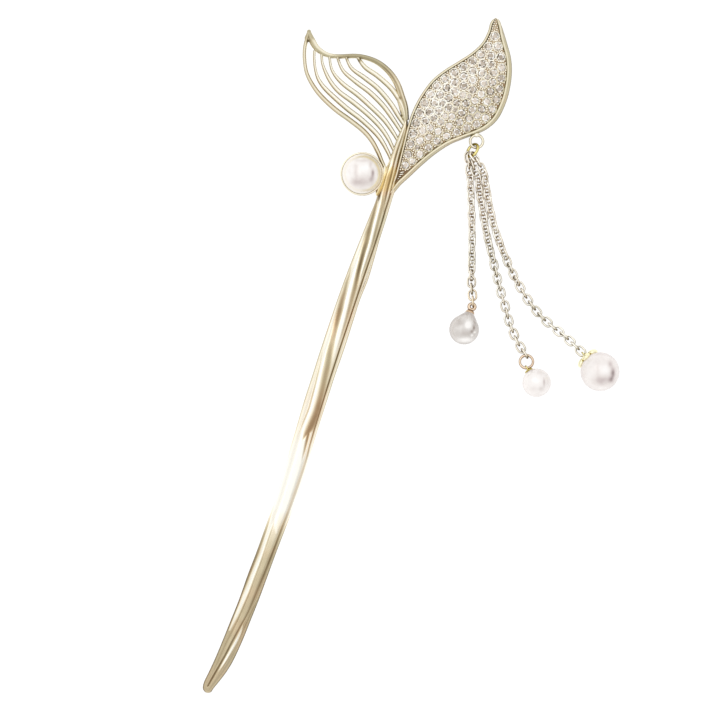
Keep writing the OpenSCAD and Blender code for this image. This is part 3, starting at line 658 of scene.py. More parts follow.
# The back, underneath, is painted a little darker, as shade
BACK_TONE = -0.2
GROOVE_DEPTH = 0.28
RIDGE_HEIGHT = 0.03
EDGE_WIDTH = 0.28
LEAST_STREAK = 0.15
STREAK_FALL = 2.6

# Places across the top and the back in parts of the width, and the top's height in parts of the
# thickness: a full crown between upright sides
TOP_ACROSS = (1 - np.cos(np.linspace(0, np.pi, TOP_STEPS + 1))) / 2
BACK_ACROSS = np.linspace(1, 0, BACK_STEPS + 2)[1:-1]
CROWN = 0.5 + 0.5 * (1 - np.abs(2 * TOP_ACROSS - 1) ** 2.2) ** 0.75
TO_EDGE = np.minimum(TOP_ACROSS, 1 - TOP_ACROSS)
RELIEF = np.minimum(1, 8 * TO_EDGE)


def read(table, y):
    """A table's other columns, where its first one is y."""
    return [np.interp(y, table[:, 0], column) for column in table[:, 1:].T]


def streaks_at(x, y):
    """The darkest and the lightest tone that the streaks give to places across the stem."""
    dark, light = np.zeros_like(x), np.zeros_like(x)
    for table in STREAK_LINES:
        if table[0, 0] <= y <= table[-1, 0]:
            middle, width, tone = read(table, y)
            off = 2 * np.abs(x - middle) / max(width, LEAST_STREAK)
            near = tone * np.exp(-off ** STREAK_FALL)
            dark, light = np.minimum(dark, near), np.maximum(light, near)
    return dark, light


def stem_row(y, left, right, thick):
    """One section of the stem, over the top and back underneath: points, tones of painted light and
    shade, and warmth.
    """
    width = right - left
    x = left + TOP_ACROSS * width
    dark, light = streaks_at(x, y)
    z = thick * CROWN + (GROOVE_DEPTH * dark + RIDGE_HEIGHT * light) * RELIEF
    left_tone, right_tone, edge_tone, warm = read(BASE_TONE, y)
    side = smooth_step(-0.3, 0.3, x - read(STREAK_LINES[0], y)[0])
    base = left_tone * (1 - side) + right_tone * side
    tone = np.clip(base + (1 - base) * light + dark * (1 + 0.9 * base), -1, 1)

    # Beside the cup a painted amber glow lies on the left edge, and the metal is painted warm all
    # across there; elsewhere both edges take the painted outline.
    glow = smooth_step(1.6, 0.5, x - left) * smooth_step(4, 2, y) * smooth_step(-5.2, -3.4, y)
    warm = warm + 1.5 * smooth_step(3.4, 0.8, y) * smooth_step(-6, -3.5, y)
    edge = hump(TO_EDGE * width, 0, EDGE_WIDTH) * (1 - glow)
    tone = tone + edge * (edge_tone - tone)
    tone = tone + glow * (0.6 + 0.1 * (y + 0.5) - tone)
    warmth = np.maximum(warm * (1 - edge), 2 * glow)

    top = np.stack([x, np.full(len(x), y), z], 1)
    bend = np.maximum(0, np.abs(2 * BACK_ACROSS - 1) - 0.7)
    back = np.stack([
        left + (0.03 + 0.94 * BACK_ACROSS) * width, np.full(BACK_STEPS, y), BACK_LIFT * thick * bend,
    ], 1)
    return (
        np.concatenate([top, back, top[:1]]),
        np.concatenate([tone, np.full(BACK_STEPS, BACK_TONE), tone[:1]]),
        np.concatenate([warmth, np.full(BACK_STEPS, read(BASE_TONE, y)[3]), warmth[:1]]),
    )


stem = Piece()
stem.skin(*zip(*[stem_row(*row) for row in STEM_LINE]))
stem.cast("stem")


# Openwork fluke

# Sections of its bars, columns [across, height, tone], from the right foot over the top to the left.
# The tone is painted light and shade: each vein is painted dark on its right flank and has a painted
# highlight on its left one, the rims have painted light and dark bands, and the webs are darker at
# their sides.
VEIN_PROFILE = [
    [-0.85, 0, -0.2], [-1, 0.1, -0.3], [-1, 0.6, -0.5], [-0.92, 0.71, -0.55], [-0.7, 0.85, -0.4],
    [-0.42, 0.95, 0.1], [0, 1, 0.65], [0.35, 0.97, 0.9], [0.7, 0.86, 1], [0.92, 0.72, 1],
    [1, 0.6, 1], [1, 0.1, 0.9], [0.85, 0, 0.8],
]
LOWER_RIM_PROFILE = [
    [-0.85, 0, -0.4], [-1, 0.1, -0.5], [-1, 0.6, -0.7], [-0.92, 0.71, -0.6], [-0.65, 0.88, -0.25],
    [-0.25, 1, 0.3], [0.2, 1, 0.35], [0.5, 0.94, -0.1], [0.78, 0.82, 0.35], [0.93, 0.71, 0.9],
    [1, 0.6, 0.9], [1, 0.1, 0.6], [0.85, 0, 0.3],
]
UPPER_RIM_PROFILE = [
    [-0.85, 0, 0.2], [-1, 0.1, 0.3], [-1, 0.6, 0.45], [-0.92, 0.71, 0.35], [-0.6, 0.9, -0.1],
    [-0.15, 1, -0.2], [0.2, 1, -0.05], [0.5, 0.95, 0.1], [0.78, 0.82, -0.25], [0.93, 0.71, -0.7],
    [1, 0.6, -0.8], [1, 0.1, -0.5], [0.85, 0, -0.4],
]
WEB_PROFILE = [
    [-1, 0, -0.3], [-1, 0.6, -0.2], [-0.7, 0.8, 0], [-0.2, 0.85, 0.15], [0.3, 0.85, 0.15], [0.7, 0.8, 0],
    [1, 0.6, -0.2], [1, 0, -0.3],
]
VEIN_FULL = 1.06
VEIN_T = 0.92 * OPENWORK_T

# Webs that fill the corners at the fluke's root and in its tip, columns [x, y, width]
ROOT_WEB = [[7, 22.4, 0.3], [8.4, 20.4, 0.9], [9.5, 17.9, 1.2], [10.35, 15, 1.3], [11, 12.6, 1.1]]
TIP_WEB = [[-13.3, 35.7, 0.6], [-13.3, 34.8, 1.5], [-13.3, 33.9, 2.1], [-13.35, 33, 1.4]]
TIP_AT = (-13.25, 35.45, FLUKE_LIFT + 0.8)
TIP_SIZE = (0.55, 0.7, 0.75)

# Painted shadows, a dark spot in the tip, in the corners where the veins leave the rims, and on the
# root web, columns [x, y, radius, depth]
SHADOWS = [
    [-13.45, 33.2, 0.42, 1.6], [-11, 30, 0.4, 1], [-9.5, 29.1, 0.38, 1], [-7.5, 28.8, 0.35, 0.9],
    [-5.5, 28.6, 0.42, 1.4], [-3.5, 28.75, 0.4, 1], [-0.5, 28.5, 0.45, 1.4], [9.4, 18.95, 0.4, 1],
    [9.6, 15.4, 0.35, 0.8], [9.95, 14.6, 0.35, 0.9], [10.3, 13.7, 0.3, 0.8],
]

# Painted highlight and shade lines along the upper rim near the root, columns [across, width, change of
# tone]
RIM_LINES = [[0.35, 0.16, 0.35], [-0.1, 0.14, -0.3], [-0.55, 0.15, 0.3]]


def fluke_shade(x, y, across, tones):
    """Makes the tip one olive field, painted darker towards its sides as shade, and adds the painted
    shadows.
    """
    tip = smooth_step(33.2, 34.2, y)
    tones = tones * (1 - tip) - tip * (0.15 + 0.2 * np.abs(across) ** 2)
    for at_x, at_y, radius, depth in SHADOWS:
        tones = tones - depth * hump(np.hypot(x - at_x, y - at_y), 0, radius)
    return tones


def rim_shade(x, y, across, tones):
    """Gives the upper rim a pale painted highlight outside below the tip, a stretch of painted shade, and
    its painted highlight and shade lines.
    """
    lines = sum(change * hump(across, at, width) for at, width, change in RIM_LINES)
    pale = 0.5 * smooth_step(-0.2, 0.4, across) * smooth_step(-5, -9, x) * smooth_step(35, 33, y)
    dark = 0.3 * smooth_step(-8, -4, x) * smooth_step(9.5, 6.5, x)
    return fluke_shade(x, y, across, tones + pale - dark + lines * smooth_step(3, 8, x))


def bar(piece, line, height, profile, steps, shade=fluke_shade):
    """Adds a bar along a line of [x, y, width]. Its profile has rows [across, height, tone], from
    its right foot over the top to its left foot. The shade changes the tones by place."""
    line = evenly(curve(line, 6), steps + 1)
    profile = curve(profile, 2)
    profile = np.concatenate([profile, profile[:1]])
    across = line[:, 2, None] / 2 * profile[None, :, 0]
    flat = line[:, None, :2] + lefts(line)[:, None, :] * across[:, :, None]
    up = np.broadcast_to(FLUKE_LIFT + height * profile[:, 1], across.shape)
    tones = np.broadcast_to(profile[:, 2], across.shape)
    tones = shade(flat[:, :, 0], flat[:, :, 1], profile[None, :, 0], tones)
    piece.skin(np.concatenate([flat, up[:, :, None]], 2), np.clip(tones, -1, 1))


openwork = Piece()
bar(openwork, TIP_WEB, OPENWORK_T, WEB_PROFILE, steps=16)
bar(openwork, LOWER_RIM, OPENWORK_T, LOWER_RIM_PROFILE, steps=140)
bar(openwork, UPPER_RIM, OPENWORK_T, UPPER_RIM_PROFILE, steps=160, shade=rim_shade)
bar(openwork, ROOT_WEB, OPENWORK_T, WEB_PROFILE, steps=60)
for vein in VEINS:
    bar(openwork, [[x, y, width * VEIN_FULL] for x, y, width in vein], VEIN_T, VEIN_PROFILE, steps=90)
# The ball at the tip, painted darker away from its middle, as shade
openwork.ball(egg(TIP_AT, TIP_SIZE), sides=20, rings=12,
              tone=lambda point: -0.15 - 0.25 * math.hypot(point.x, point.y))
openwork.cast("openwork_fluke")


# Stone fluke


def islands(node):
    """The separate solids of a CAD node, each as its corners in millimetres."""
    solid = bmesh.new()
    solid.from_mesh(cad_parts[node].data)
    bmesh.ops.remove_doubles(solid, verts=solid.verts[:], dist=1e-6)
    left = set(solid.verts)
    found = []
    while left:
        front = [left.pop()]
        group = []
        while front:
            corner = front.pop()
            group.append(corner)
            for edge in corner.link_edges:
                other = edge.other_vert(corner)
                if other in left:
                    left.discard(other)
                    front.append(other)
        found.append(np.array(sorted(tuple(corner.co) for corner in group)) / MM)
    solid.free()
    found.sort(key=lambda points: (-points[:, 1].mean(), points[:, 0].mean()))
    return found


STONES = np.array([
    [points[:, 0].mean(), points[:, 1].mean(), points[:, 2].min() + STONE_DEPTH]
    for points in islands("fluke_stones")
])


FIELD_MIDDLE = (24.5, 18)
DARK_WAY = (0.64, -0.77)


def shade_of(x, y):
    """How far a place lies into the painted shade over the lower right half of the stone field, 0 to 1.
    """
    off = (x - FIELD_MIDDLE[0]) * DARK_WAY[0] + (y - FIELD_MIDDLE[1]) * DARK_WAY[1]
    return smooth_step(-4, 3.5, off)


FIELD_STEPS = 28
TRAY_STEPS = 200
SECTIONS_ROOM = 1.9
FIELD_WARMTH = 0.9
TAIL_LIGHT = 0.3

# Sections of the tray, columns [distance in from the edge, height, tone]. The tone is painted light
# and shade: a painted highlight along the top of each rim, and painted shade down the walls and in
# the corners at the field. The first columns of the inner one are its outer wall.
INNER_WALL_COLUMNS = 4
INNER_SECTION = [
    [0.2, FLUKE_LIFT, -0.5], [0.03, FLUKE_LIFT + 0.2, -0.6], [0, TRAY_TOP - 0.34, -0.8],
    [0.09, TRAY_TOP - 0.13, -0.45], [0.2, TRAY_TOP - 0.02, 0.05], [0.36, TRAY_TOP, 0.4],
    [0.5, TRAY_TOP - 0.06, 0.05], [0.58, TRAY_TOP - 0.22, -0.65], [0.62, TRAY_FLOOR + 0.05, -1],
    [0.78, TRAY_FLOOR, -0.7],
]
OUTER_SECTION = [
    [0.85, TRAY_FLOOR, -0.6], [0.72, TRAY_FLOOR + 0.05, -0.8], [0.66, TRAY_TOP - 0.22, -0.45],
    [0.56, TRAY_TOP - 0.05, -0.1], [0.4, TRAY_TOP, 0.25], [0.22, TRAY_TOP - 0.01, 0.45],
    [0.08, TRAY_TOP - 0.1, 0.1], [-0.02, TRAY_TOP - 0.28, -0.4], [-0.08, TRAY_TOP - 0.4, -0.3],
]
WALL_SECTION = [
    [0.4, TRAY_TOP - 0.6, -0.1], [0.16, FLUKE_LIFT + 1.17, -0.4], [0.05, FLUKE_LIFT + 0.95, -0.95],
    [0, FLUKE_LIFT + 0.2, -0.9], [0.2, FLUKE_LIFT, -0.7],
]

# The rim stands back from the outer wall, except at the fluke's point. Where the two edges come
# close, the sections are squeezed.
inner_line = evenly(curve(INNER_EDGE, 8), TRAY_STEPS + 1)
wall_line = evenly(curve(OUTER_EDGE, 8), TRAY_STEPS + 1)
stand_back = smooth_step(0, 0.12, np.linspace(0, 1, TRAY_STEPS + 1))[:, None]
rim_line = wall_line + stand_back * [-WALL_SHOW, 0.15]
squeeze = np.clip(np.linalg.norm(rim_line - inner_line, axis=1) / SECTIONS_ROOM, 0.02, 1)[:, None]


def tray_columns(line, inward, section):
    """The section's columns along one edge, each a table of points and its tones."""
    return [
        (np.column_stack([line + inward * far * squeeze, np.full(len(line), height)]),
         np.full(len(line), tone))
        for far, height, tone in section
    ]


# In the tail, beside the stem, the inner wall is painted lighter and warmer, as painted light
tail = smooth_step(13.5, 10.5, inner_line[:, 1])
tray_sides = tray_columns(inner_line, lefts(inner_line), INNER_SECTION)
for _, tones in tray_sides[:INNER_WALL_COLUMNS]:
    tones += TAIL_LIGHT * tail
outer_sides = tray_columns(rim_line, -lefts(wall_line), OUTER_SECTION)
field_inner, field_outer = tray_sides[-1][0], outer_sides[0][0]
# The field: painted shade over its lower right half, and deeper painted shade towards the tail
for k in range(1, FIELD_STEPS):
    middle = field_inner + (field_outer - field_inner) * k / FIELD_STEPS
    deep = shade_of(middle[:, 0], middle[:, 1])
    tray_sides.append((middle, -0.1 - 0.4 * deep - 0.4 * smooth_step(1.5, 0.5, middle[:, 1])))
tray_sides += outer_sides + tray_columns(wall_line, -lefts(wall_line), WALL_SECTION)
tray_sides.append(tray_sides[0])

tray_warmth = np.zeros((TRAY_STEPS + 1, len(tray_sides)))
tray_warmth[:, :len(INNER_SECTION)] = TAIL_LIGHT * tail[:, None]
tray_warmth[:, len(INNER_SECTION):len(INNER_SECTION) + FIELD_STEPS] = FIELD_WARMTH

tray = Piece()
tray.skin(*[np.stack(tables, 1) for tables in zip(*tray_sides)], tray_warmth)
tray.cast("stone_tray")


# Small stones, which fill the widest places between the large ones

FILLER_LEAST = 0.6
FILLER_MOST = 0.85
FILLER_STEP = 0.2
BESIDE = 0.1


def field_rows(step):
    """Rows across the tray's field, as [y, west, east]."""
    rising = field_outer[field_outer[:, 1].argsort()]
    for y in np.arange(field_inner[0, 1], field_inner[-1, 1], -step):
        west = np.interp(y, field_inner[::-1, 1], field_inner[::-1, 0])
        east = np.interp(y, rising[:, 1], rising[:, 0])
        if west < east:
            yield y, west, east


def distances(places, others):
    """From each place to each of the others."""
    return np.hypot(places[:, None, 0] - others[:, 0], places[:, None, 1] - others[:, 1])


open_places = np.array([
    [x, y] for y, west, east in field_rows(FILLER_STEP) if 1 < y < 35.6
    for x in np.arange(west + 0.4, east - 0.3, FILLER_STEP)
])
to_edge = np.min(distances(open_places, np.concatenate([field_inner, field_outer])), 1)
stones_at = [(x, y, STONE_R) for x, y, z in STONES]
while True:
    taken = np.array(stones_at)
    to_stone = np.min(distances(open_places, taken) - taken[:, 2], 1)
    room = np.minimum(to_stone, to_edge) - BESIDE
    best = room.argmax()
    if room[best] < FILLER_LEAST:
        break
    stones_at.append((*open_places[best], min(room[best], FILLER_MOST)))


# Rings and beads of metal that hold the stones, and short ribs across the tail

SEAT_WIRE = 0.32
SEAT_OUT = 0.18
SEAT_LIFT = 0.1
BEAD_R = 0.29
BEAD_GAP = 0.56
BEAD_STEP = 0.19
BEAD_LIFT = 0.12
BEAD_WARMTH = 1.25
RIB_STEP = 0.55
RIB_LIFT = 0.05
RIB_TURN = 0.15
RIB_TOP = 0.7
RIB_LEAST = 0.4
RIB_LENGTH = 1.5


def lit_top(bright, low, high):
    """Painted light and shade of a small form that stands up: painted shade all round, and a painted
    highlight on top.
    """
    return lambda point: bright * smooth_step(low, high, point.z) - 0.9


settings = Piece()
# Each seat's painted highlight is dimmer in the painted shade of the field's lower right
for x, y, radius in stones_at:
    place = Matrix.Translation((x, y, TRAY_FLOOR + SEAT_LIFT))
    settings.ring(radius + SEAT_OUT, SEAT_WIRE, place, sides=8, steps=24,
                  tone=lit_top(2.1 - 1.05 * shade_of(x, y), -0.02, 0.11))

beads = []
for y, west, east in field_rows(BEAD_STEP):
    if y < RIB_TOP:
        break
    for x in np.arange(west + 0.12, east - 0.05, BEAD_STEP):
        clear = min(math.hypot(at_x - x, at_y - y) - radius for at_x, at_y, radius in stones_at)
        if clear < BEAD_R - 0.03:
            continue
        if beads and np.hypot(*(np.array(beads) - [x, y]).T).min() < BEAD_GAP:
            continue
        beads.append([x, y])
for x, y in beads:
    # Each bead's painted highlight is a little brighter or dimmer at random
    glint = random.uniform(-0.2, 0.3)
    settings.ball(egg((x, y, TRAY_FLOOR + BEAD_LIFT), [BEAD_R] * 3), sides=8, rings=6,
                  tone=lit_top(1.9 + glint, 0.25, 0.8), warmth=lambda point: BEAD_WARMTH)

for y, west, east in field_rows(RIB_STEP):
    if y <= RIB_TOP and east - west >= RIB_LEAST:
        east = min(east, west + RIB_LENGTH)
        rib = egg(((west + east) / 2, y, TRAY_FLOOR + RIB_LIFT), ((east - west) / 2, 0.2, 0.42), RIB_TURN)
        settings.ball(rib, sides=16, rings=8, tone=lit_top(1.9, 0.1, 0.7))
settings.cast("stone_seats")


# Stones

GIRDLE = 0.05

# The corners of a round brilliant: table, crown, girdle and pavilion, columns [count, turn in parts
# of a step, radius in parts of the stone's, height]
BRILLIANT = [
    [8, 0, 0.54, STONE_CROWN], [8, 0.5, 0.8, 0.19], [16, 0, 1, 0.03], [16, 0, 1, -0.03],
    [8, 0.5, 0.56, -0.29],
]
# Painted reflections of the facets: the crown's are glints and darks, and the sides' mostly darker
CROWN_TONES = (0.1, 0.4, 1, 1.4)
SIDE_TONES = (0.05, 0.2, 0.35, 0.6, 1)


def stone_points(radius):
    """The corners of a stone, with the point below them."""
    points = []
    for count, half, part, z in BRILLIANT:
        for k in range(count):
            turn = (k + half) * 2 * math.pi / count
            points.append((part * radius * math.cos(turn), part * radius * math.sin(turn), z))
    return points + [(0, 0, -STONE_DEPTH)]


stones = Piece()
stone_height = STONES[:, 2].mean()
for x, y, radius in stones_at:
    corners = [stones.mesh.verts.new(point) for point in stone_points(radius + GIRDLE)]
    bmesh.ops.convex_hull(stones.mesh, input=corners)
    place = Matrix.Translation((x, y, stone_height - 0.1 * (STONE_R - radius)))
    stones.put(place @ Matrix.Rotation(random.uniform(0, math.pi / 4), 4, "Z"))

# Each stone is painted a little lighter or darker at random, and each facet gets its own painted
# reflection: the table a steady tone, a little lighter in the field's lower right, and the crown and
# sides glints and darks at random
for name in ("tone", "warmth"):
    stones.whole.verts.layers.float.remove(stones.whole.verts.layers.float[name])
facet_tone = stones.whole.faces.layers.float.new("tone")
stone_places = np.array(stones_at)
stone_light = [random.uniform(-0.2, 0.15) for _ in stones_at]
for face in stones.whole.faces:
    middle = face.calc_center_median()
    nearest = np.hypot(stone_places[:, 0] - middle.x, stone_places[:, 1] - middle.y).argmin()
    if face.normal.z > 0.99:
        face[facet_tone] = 0.42 + 0.06 * shade_of(middle.x, middle.y) + stone_light[nearest]
    elif face.normal.z > 0.8:
        face[facet_tone] = random.choice(CROWN_TONES) + stone_light[nearest]
    else:
        face[facet_tone] = random.choice(SIDE_TONES)
stones.done("cut_stones", STONE, "fluke_stones", smooth=False)


# Pearl cup

CUP_INSIDE = CUP_R - CUP_WALL

# Half section of the cup, from the middle of its back, columns [radius, height]
CUP_SECTION = [
    [0, 0], [4.3, 0], [4.75, 0.2], [5.15, 0.65], [5.38, 1.2], [CUP_R, 1.8], [CUP_R, CUP_H - 0.2],
    [CUP_R - 0.05, CUP_H - 0.06], [CUP_R - 0.14, CUP_H], [CUP_INSIDE + 0.08, CUP_H + 0.04],
    [CUP_INSIDE - 0.02, CUP_H + 0.04], [CUP_INSIDE - 0.1, CUP_H], [CUP_INSIDE - 0.1, CUP_H - 0.1],
    [CUP_INSIDE, CUP_H - 0.2], [CUP_INSIDE, 1.5], [CUP_INSIDE - 0.3, 0.9], [0, 0.9],
]

# The solder that fills the corner between the cup and the stem. It is painted amber all over,
# lighter towards its upper end, as part of the painted glow beside the cup.
SOLDER = egg((4.75, -1.6, 1.5), (0.85, 4, 1.45), -0.27)


def cup_tone(point):
    """Painted light and shade on the cup: its outside wall tan, painted lighter to the left and darker
    towards the bottom, with a painted highlight on the rim and a gold line where the pearl sits.
    """
    if math.hypot(point.x, point.y) < CUP_INSIDE:
        return 0
    if point.z > CUP_H - 0.12:
        return 0.6
    left = smooth_step(0.2, -0.6, point.x / CUP_R)
    low = smooth_step(-0.5, -0.95, point.y / CUP_R)
    return 1.1 * left - 0.1 - 1.1 * low


def cup_warmth(point):
    """A painted amber glow where the cup meets the stem."""
    return 1.8 * hump(math.degrees(math.atan2(point.y, point.x)), -15, 35)


cup = Piece()
cup.spin(CUP_SECTION, steps=128, tone=cup_tone, warmth=cup_warmth)
cup.ball(SOLDER, sides=32, rings=20, tone=lambda point: 0.7 + 0.5 * point.y, warmth=lambda point: 2)
cup.cast("pearl_cup")


# Pearls

# Painted highlights and painted reflections, light and dark, on the pearls, as seen from above in
# parts of the radius, columns [x, y, half width, half height, change of tone]
CUP_PEARL_MARKS = [
    [-0.3, 0.1, 0.1, 0.35, -0.5], [0.17, 0.3, 0.22, 0.22, 0.4], [0.54, 0.02, 0.08, 0.2, -1.5],
    [0.47, -0.27, 0.11, 0.16, -0.8], [0.03, -0.42, 0.46, 0.27, -0.85], [-0.38, -0.45, 0.2, 0.18, -0.45],
    [0.1, 0.64, 0.4, 0.08, -0.45], [0.42, 0.42, 0.09, 0.18, -0.7],
]
LARGE_PEARL_MARKS = [
    [0.22, 0.07, 0.24, 0.24, 0.5], [0.64, -0.08, 0.13, 0.28, -1.35], [0.5, 0.38, 0.12, 0.2, -0.7],
    [0.54, -0.42, 0.14, 0.16, -0.9], [0.08, -0.44, 0.42, 0.24, -0.8], [-0.14, 0.12, 0.08, 0.34, -0.3],
    [0.05, 0.86, 0.4, 0.06, -0.3], [-0.5, -0.1, 0.25, 0.35, 0.25], [0.1, -0.85, 0.4, 0.08, 0.3],
]
SMALL_PEARL_MARKS = [
    [0.03, 0.19, 0.28, 0.3, 0.3], [0.5, 0.05, 0.07, 0.32, -1], [0.25, 0.7, 0.22, 0.15, -0.5],
    [0.3, -0.4, 0.14, 0.14, -0.5], [-0.2, -0.42, 0.42, 0.2, -0.3], [0.1, -0.8, 0.3, 0.1, -0.3],
]
TEARDROP_MARKS = [
    [0.25, 0.31, 0.22, 0.24, 1.7], [0.05, -0.25, 0.45, 0.22, -0.3], [-0.49, 0.09, 0.14, 0.1, 0.35],
    [0.51, -0.38, 0.075, 0.075, 1.3], [0.7, -0.18, 0.075, 0.075, 1.2], [0.5, -0.12, 0.1, 0.1, -0.7],
    [0.64, 0.1, 0.08, 0.14, -0.8], [0.3, 0.85, 0.35, 0.25, 0.5], [0.66, 0.36, 0.1, 0.28, -0.5],
    [0.1, -0.68, 0.5, 0.18, 1], [-0.25, -0.05, 0.12, 0.3, 0.25], [-0.3, 0.5, 0.3, 0.3, -0.25],
]


def marked(base, edge, marks, turn=Matrix.Identity(3)):
    """Painted light of a pearl by place: a base, painted shade by an amount at its edge, and its painted
    highlights and reflections. The turn takes places on the pearl to places as seen from above."""
    def tone(point):
        way = (turn @ point).normalized()
        level = base - edge * smooth_step(0.6, 0.15, way.z)
        for x, y, wide, high, change in marks:
            level += change * math.exp(-((way.x - x) / wide) ** 2 - ((way.y - y) / high) ** 2)
        return level
    return tone


def cup_gold_reflection(point):
    """A painted reflection of the cup's gold in the pearl's edge, most of all on the right."""
    way = point.normalized()
    right = 0.25 + 0.75 * smooth_step(-0.6, 0.7, way.x + 0.3 * way.y)
    out = math.hypot(way.x, way.y)
    return right * max(hump(out, 0.86, 0.06), 0.4 * smooth_step(0.8, 0.9, out))


def round_pearl(name, at, radius, material, node, tone, warmth=None, low=None):
    """A fine ball, ground flat below where a height is given."""
    pearl = Piece()
    bmesh.ops.create_uvsphere(pearl.mesh, u_segments=96, v_segments=60, radius=radius)
    for corner in pearl.mesh.verts:
        corner[pearl.tone] = tone(corner.co)
        corner[pearl.warmth] = warmth(corner.co) if warmth else 0
    if low is not None:
        parts = pearl.mesh.verts[:] + pearl.mesh.edges[:] + pearl.mesh.faces[:]
        bmesh.ops.bisect_plane(pearl.mesh, geom=parts, plane_co=(0, 0, low - at.z), plane_no=(0, 0, -1),
                               clear_outer=True)
        pearl.cap_holes()
    pearl.put(Matrix.Translation(at))
    pearl.done(name, material, node)


round_pearl("cup_pearl_bead", Vector((0, 0, CUP_H)), CUP_PEARL_R, CUP_PEARL, "seat_pearl",
            marked(0.66, 0.3, CUP_PEARL_MARKS), cup_gold_reflection, low=1)


# Soldered ring and jump ring


def wire_tone(turn, low, high, radius):
    """Painted light and shade of a wire ring: a painted highlight where the wire faces up, painted shade
    on its flanks and below.
    """
    turn = turn.to_3x3()

    def tone(point):
        middle = Vector((point.x, point.y, 0)).normalized() * radius
        up = (turn @ (point - middle).normalized()).z
        return low + (high - low) * smooth_step(0.3, 0.95, up)
    return tone


LOOP_FOOT = egg(LOOP_AT + Vector((0, LOOP_R + 0.1, 0)), (0.75, 0.7, 0.42))
loop_pose = Matrix.Translation(LOOP_AT)
loop = Piece()
loop.ring(LOOP_R, LOOP_WIRE, loop_pose, sides=18, steps=64, tone=wire_tone(loop_pose, -0.9, 0.5, LOOP_R))
# The foot that holds the ring on the fluke, painted lighter on top and darker below, as light and shade
loop.ball(LOOP_FOOT, sides=18, rings=12, tone=lambda point: 0.8 * point.z)
loop.cast("soldered_ring")

jump_pose = (
    Matrix.Translation(JUMP_AT)
    @ Matrix.Rotation(math.radians(JUMP_TURN), 4, "Z")
    @ Matrix.Rotation(math.radians(JUMP_LEAN), 4, "Y")
)
jump = Piece()
jump.ring(JUMP_R, JUMP_SHOW, jump_pose, sides=18, steps=64, tone=wire_tone(jump_pose, -1, 0.2, JUMP_R))
jump.done("jump_ring_wire", YELLOW, "jump_ring")


# Chains

LINK_SPREAD = 0.1
LINK_LIGHT = np.array([-0.3, 0.3, 0.905])
LINK_SIDES = 8
LINK_STEPS = 28
LAST_LINK_BELOW = -29.6


def chain(node):
    """Links of round wire where the CAD links lie, with painted light and shade: each part of the wire is
    lighter the more it faces the light's way. They are warmer near the jump ring and darker further
    down, and the short chain's last link is amber and darker."""
    piece = Piece()
    half_w = (LINK_W - LINK_D) / 2 + LINK_SPREAD
    half_l = (LINK_L - LINK_W) / 2
    turn = np.linspace(0, 2 * np.pi, LINK_STEPS + 1)
    around = np.linspace(0, 2 * np.pi, LINK_SIDES + 1)
    out = np.stack([np.cos(turn), np.sin(turn), 0 * turn], 1)
    centre = half_w * out
    centre[:, 0] += half_l * np.clip(out[:, 0] * 4, -1, 1)
    facing = out[:, None, :] * np.cos(around)[None, :, None] + [0, 0, 1] * np.sin(around)[None, :, None]
    for points in islands(node):
        middle = points.mean(0)
        axes = np.linalg.svd(points - middle)[2]
        skin = middle + centre[:, None, :] @ axes + LINK_SHOW / 2 * (facing @ axes)
        skin[:, :, 2] = np.maximum(skin[:, :, 2], 0)
        if node == "chain_short" and middle[1] < LAST_LINK_BELOW:
            light, warmth = -0.45, 1.3
        else:
            light = random.uniform(-0.15, 0.15) - 0.25 * smooth_step(-12, -24, middle[1])
            warmth = 0.45 * smooth_step(-22, -6, middle[1])
        # Painted light and shade: lighter where the wire faces LINK_LIGHT, darker elsewhere
        tones = -0.85 + light + 1.8 * smooth_step(0.2, 0.93, facing @ axes @ LINK_LIGHT)
        piece.skin(skin, tones, np.full(tones.shape, warmth), closed_along=True)
    piece.done(node + "_links", CHAIN_GOLD, node)


for node in ("chain_short", "chain_middle", "chain_long"):
    chain(node)


# Drops

DISH_STEPS = 10
BELLY_STEPS = 40
PETALS = 5
PETAL_AT = 1.95
PETAL_SIZE = (1.3, 1.15, 0.8)
COIL_LEAN = 9

# Half section of the teardrop's cap, columns [radius, height over the pearl's tip]
TEARDROP_CAP = [
    [0, 0], [0.78, 0], [1.02, -0.5], [1.1, -0.58], [1.18, -0.5], [1.12, -0.3], [0.95, 0], [0.7, 0.24],
    [0.4, 0.36], [0, 0.38],
]


def eye(piece, at, pose, radius, wire, upright="X"):
    """Adds an upright eye on a cap's axis."""
    stand = pose @ Matrix.Translation((0, 0, at)) @ Matrix.Rotation(math.pi / 2, 4, upright)
    piece.ring(radius, wire, stand, sides=14, steps=40, tone=wire_tone(stand, -0.9, 0.4, radius))


def round_cap(piece, radius, dish, eye_at, pose):
    """Adds a dish on a pearl, its stalk, and the eye on top."""
    low, high = radius + GAP, radius + GAP + CAP_T
    section = [(low * math.sin(a), low * math.cos(a)) for a in np.linspace(0, dish / low, DISH_STEPS)]
    section += [(high * math.sin(a), high * math.cos(a)) for a in np.linspace(dish / high, 0, DISH_STEPS)]
    foot = eye_at - EYE_R
    stalk = [
        (0, high - 0.1), (0.75, high - 0.08), (0.55, high + 0.08), (0.5, foot + 0.05),
        (0.3, foot + 0.15), (0, foot + 0.18),
    ]
    # The dish is painted darker towards its rim, and the stalk darker, as painted shade
    piece.spin(section, pose, 40,
               lambda point: 0.3 - 0.6 * smooth_step(0.6, 1, math.hypot(point.x, point.y)))
    piece.spin(stalk, pose, 24, lambda point: -0.3)
    eye(piece, eye_at, pose, EYE_R, EYE_WIRE)


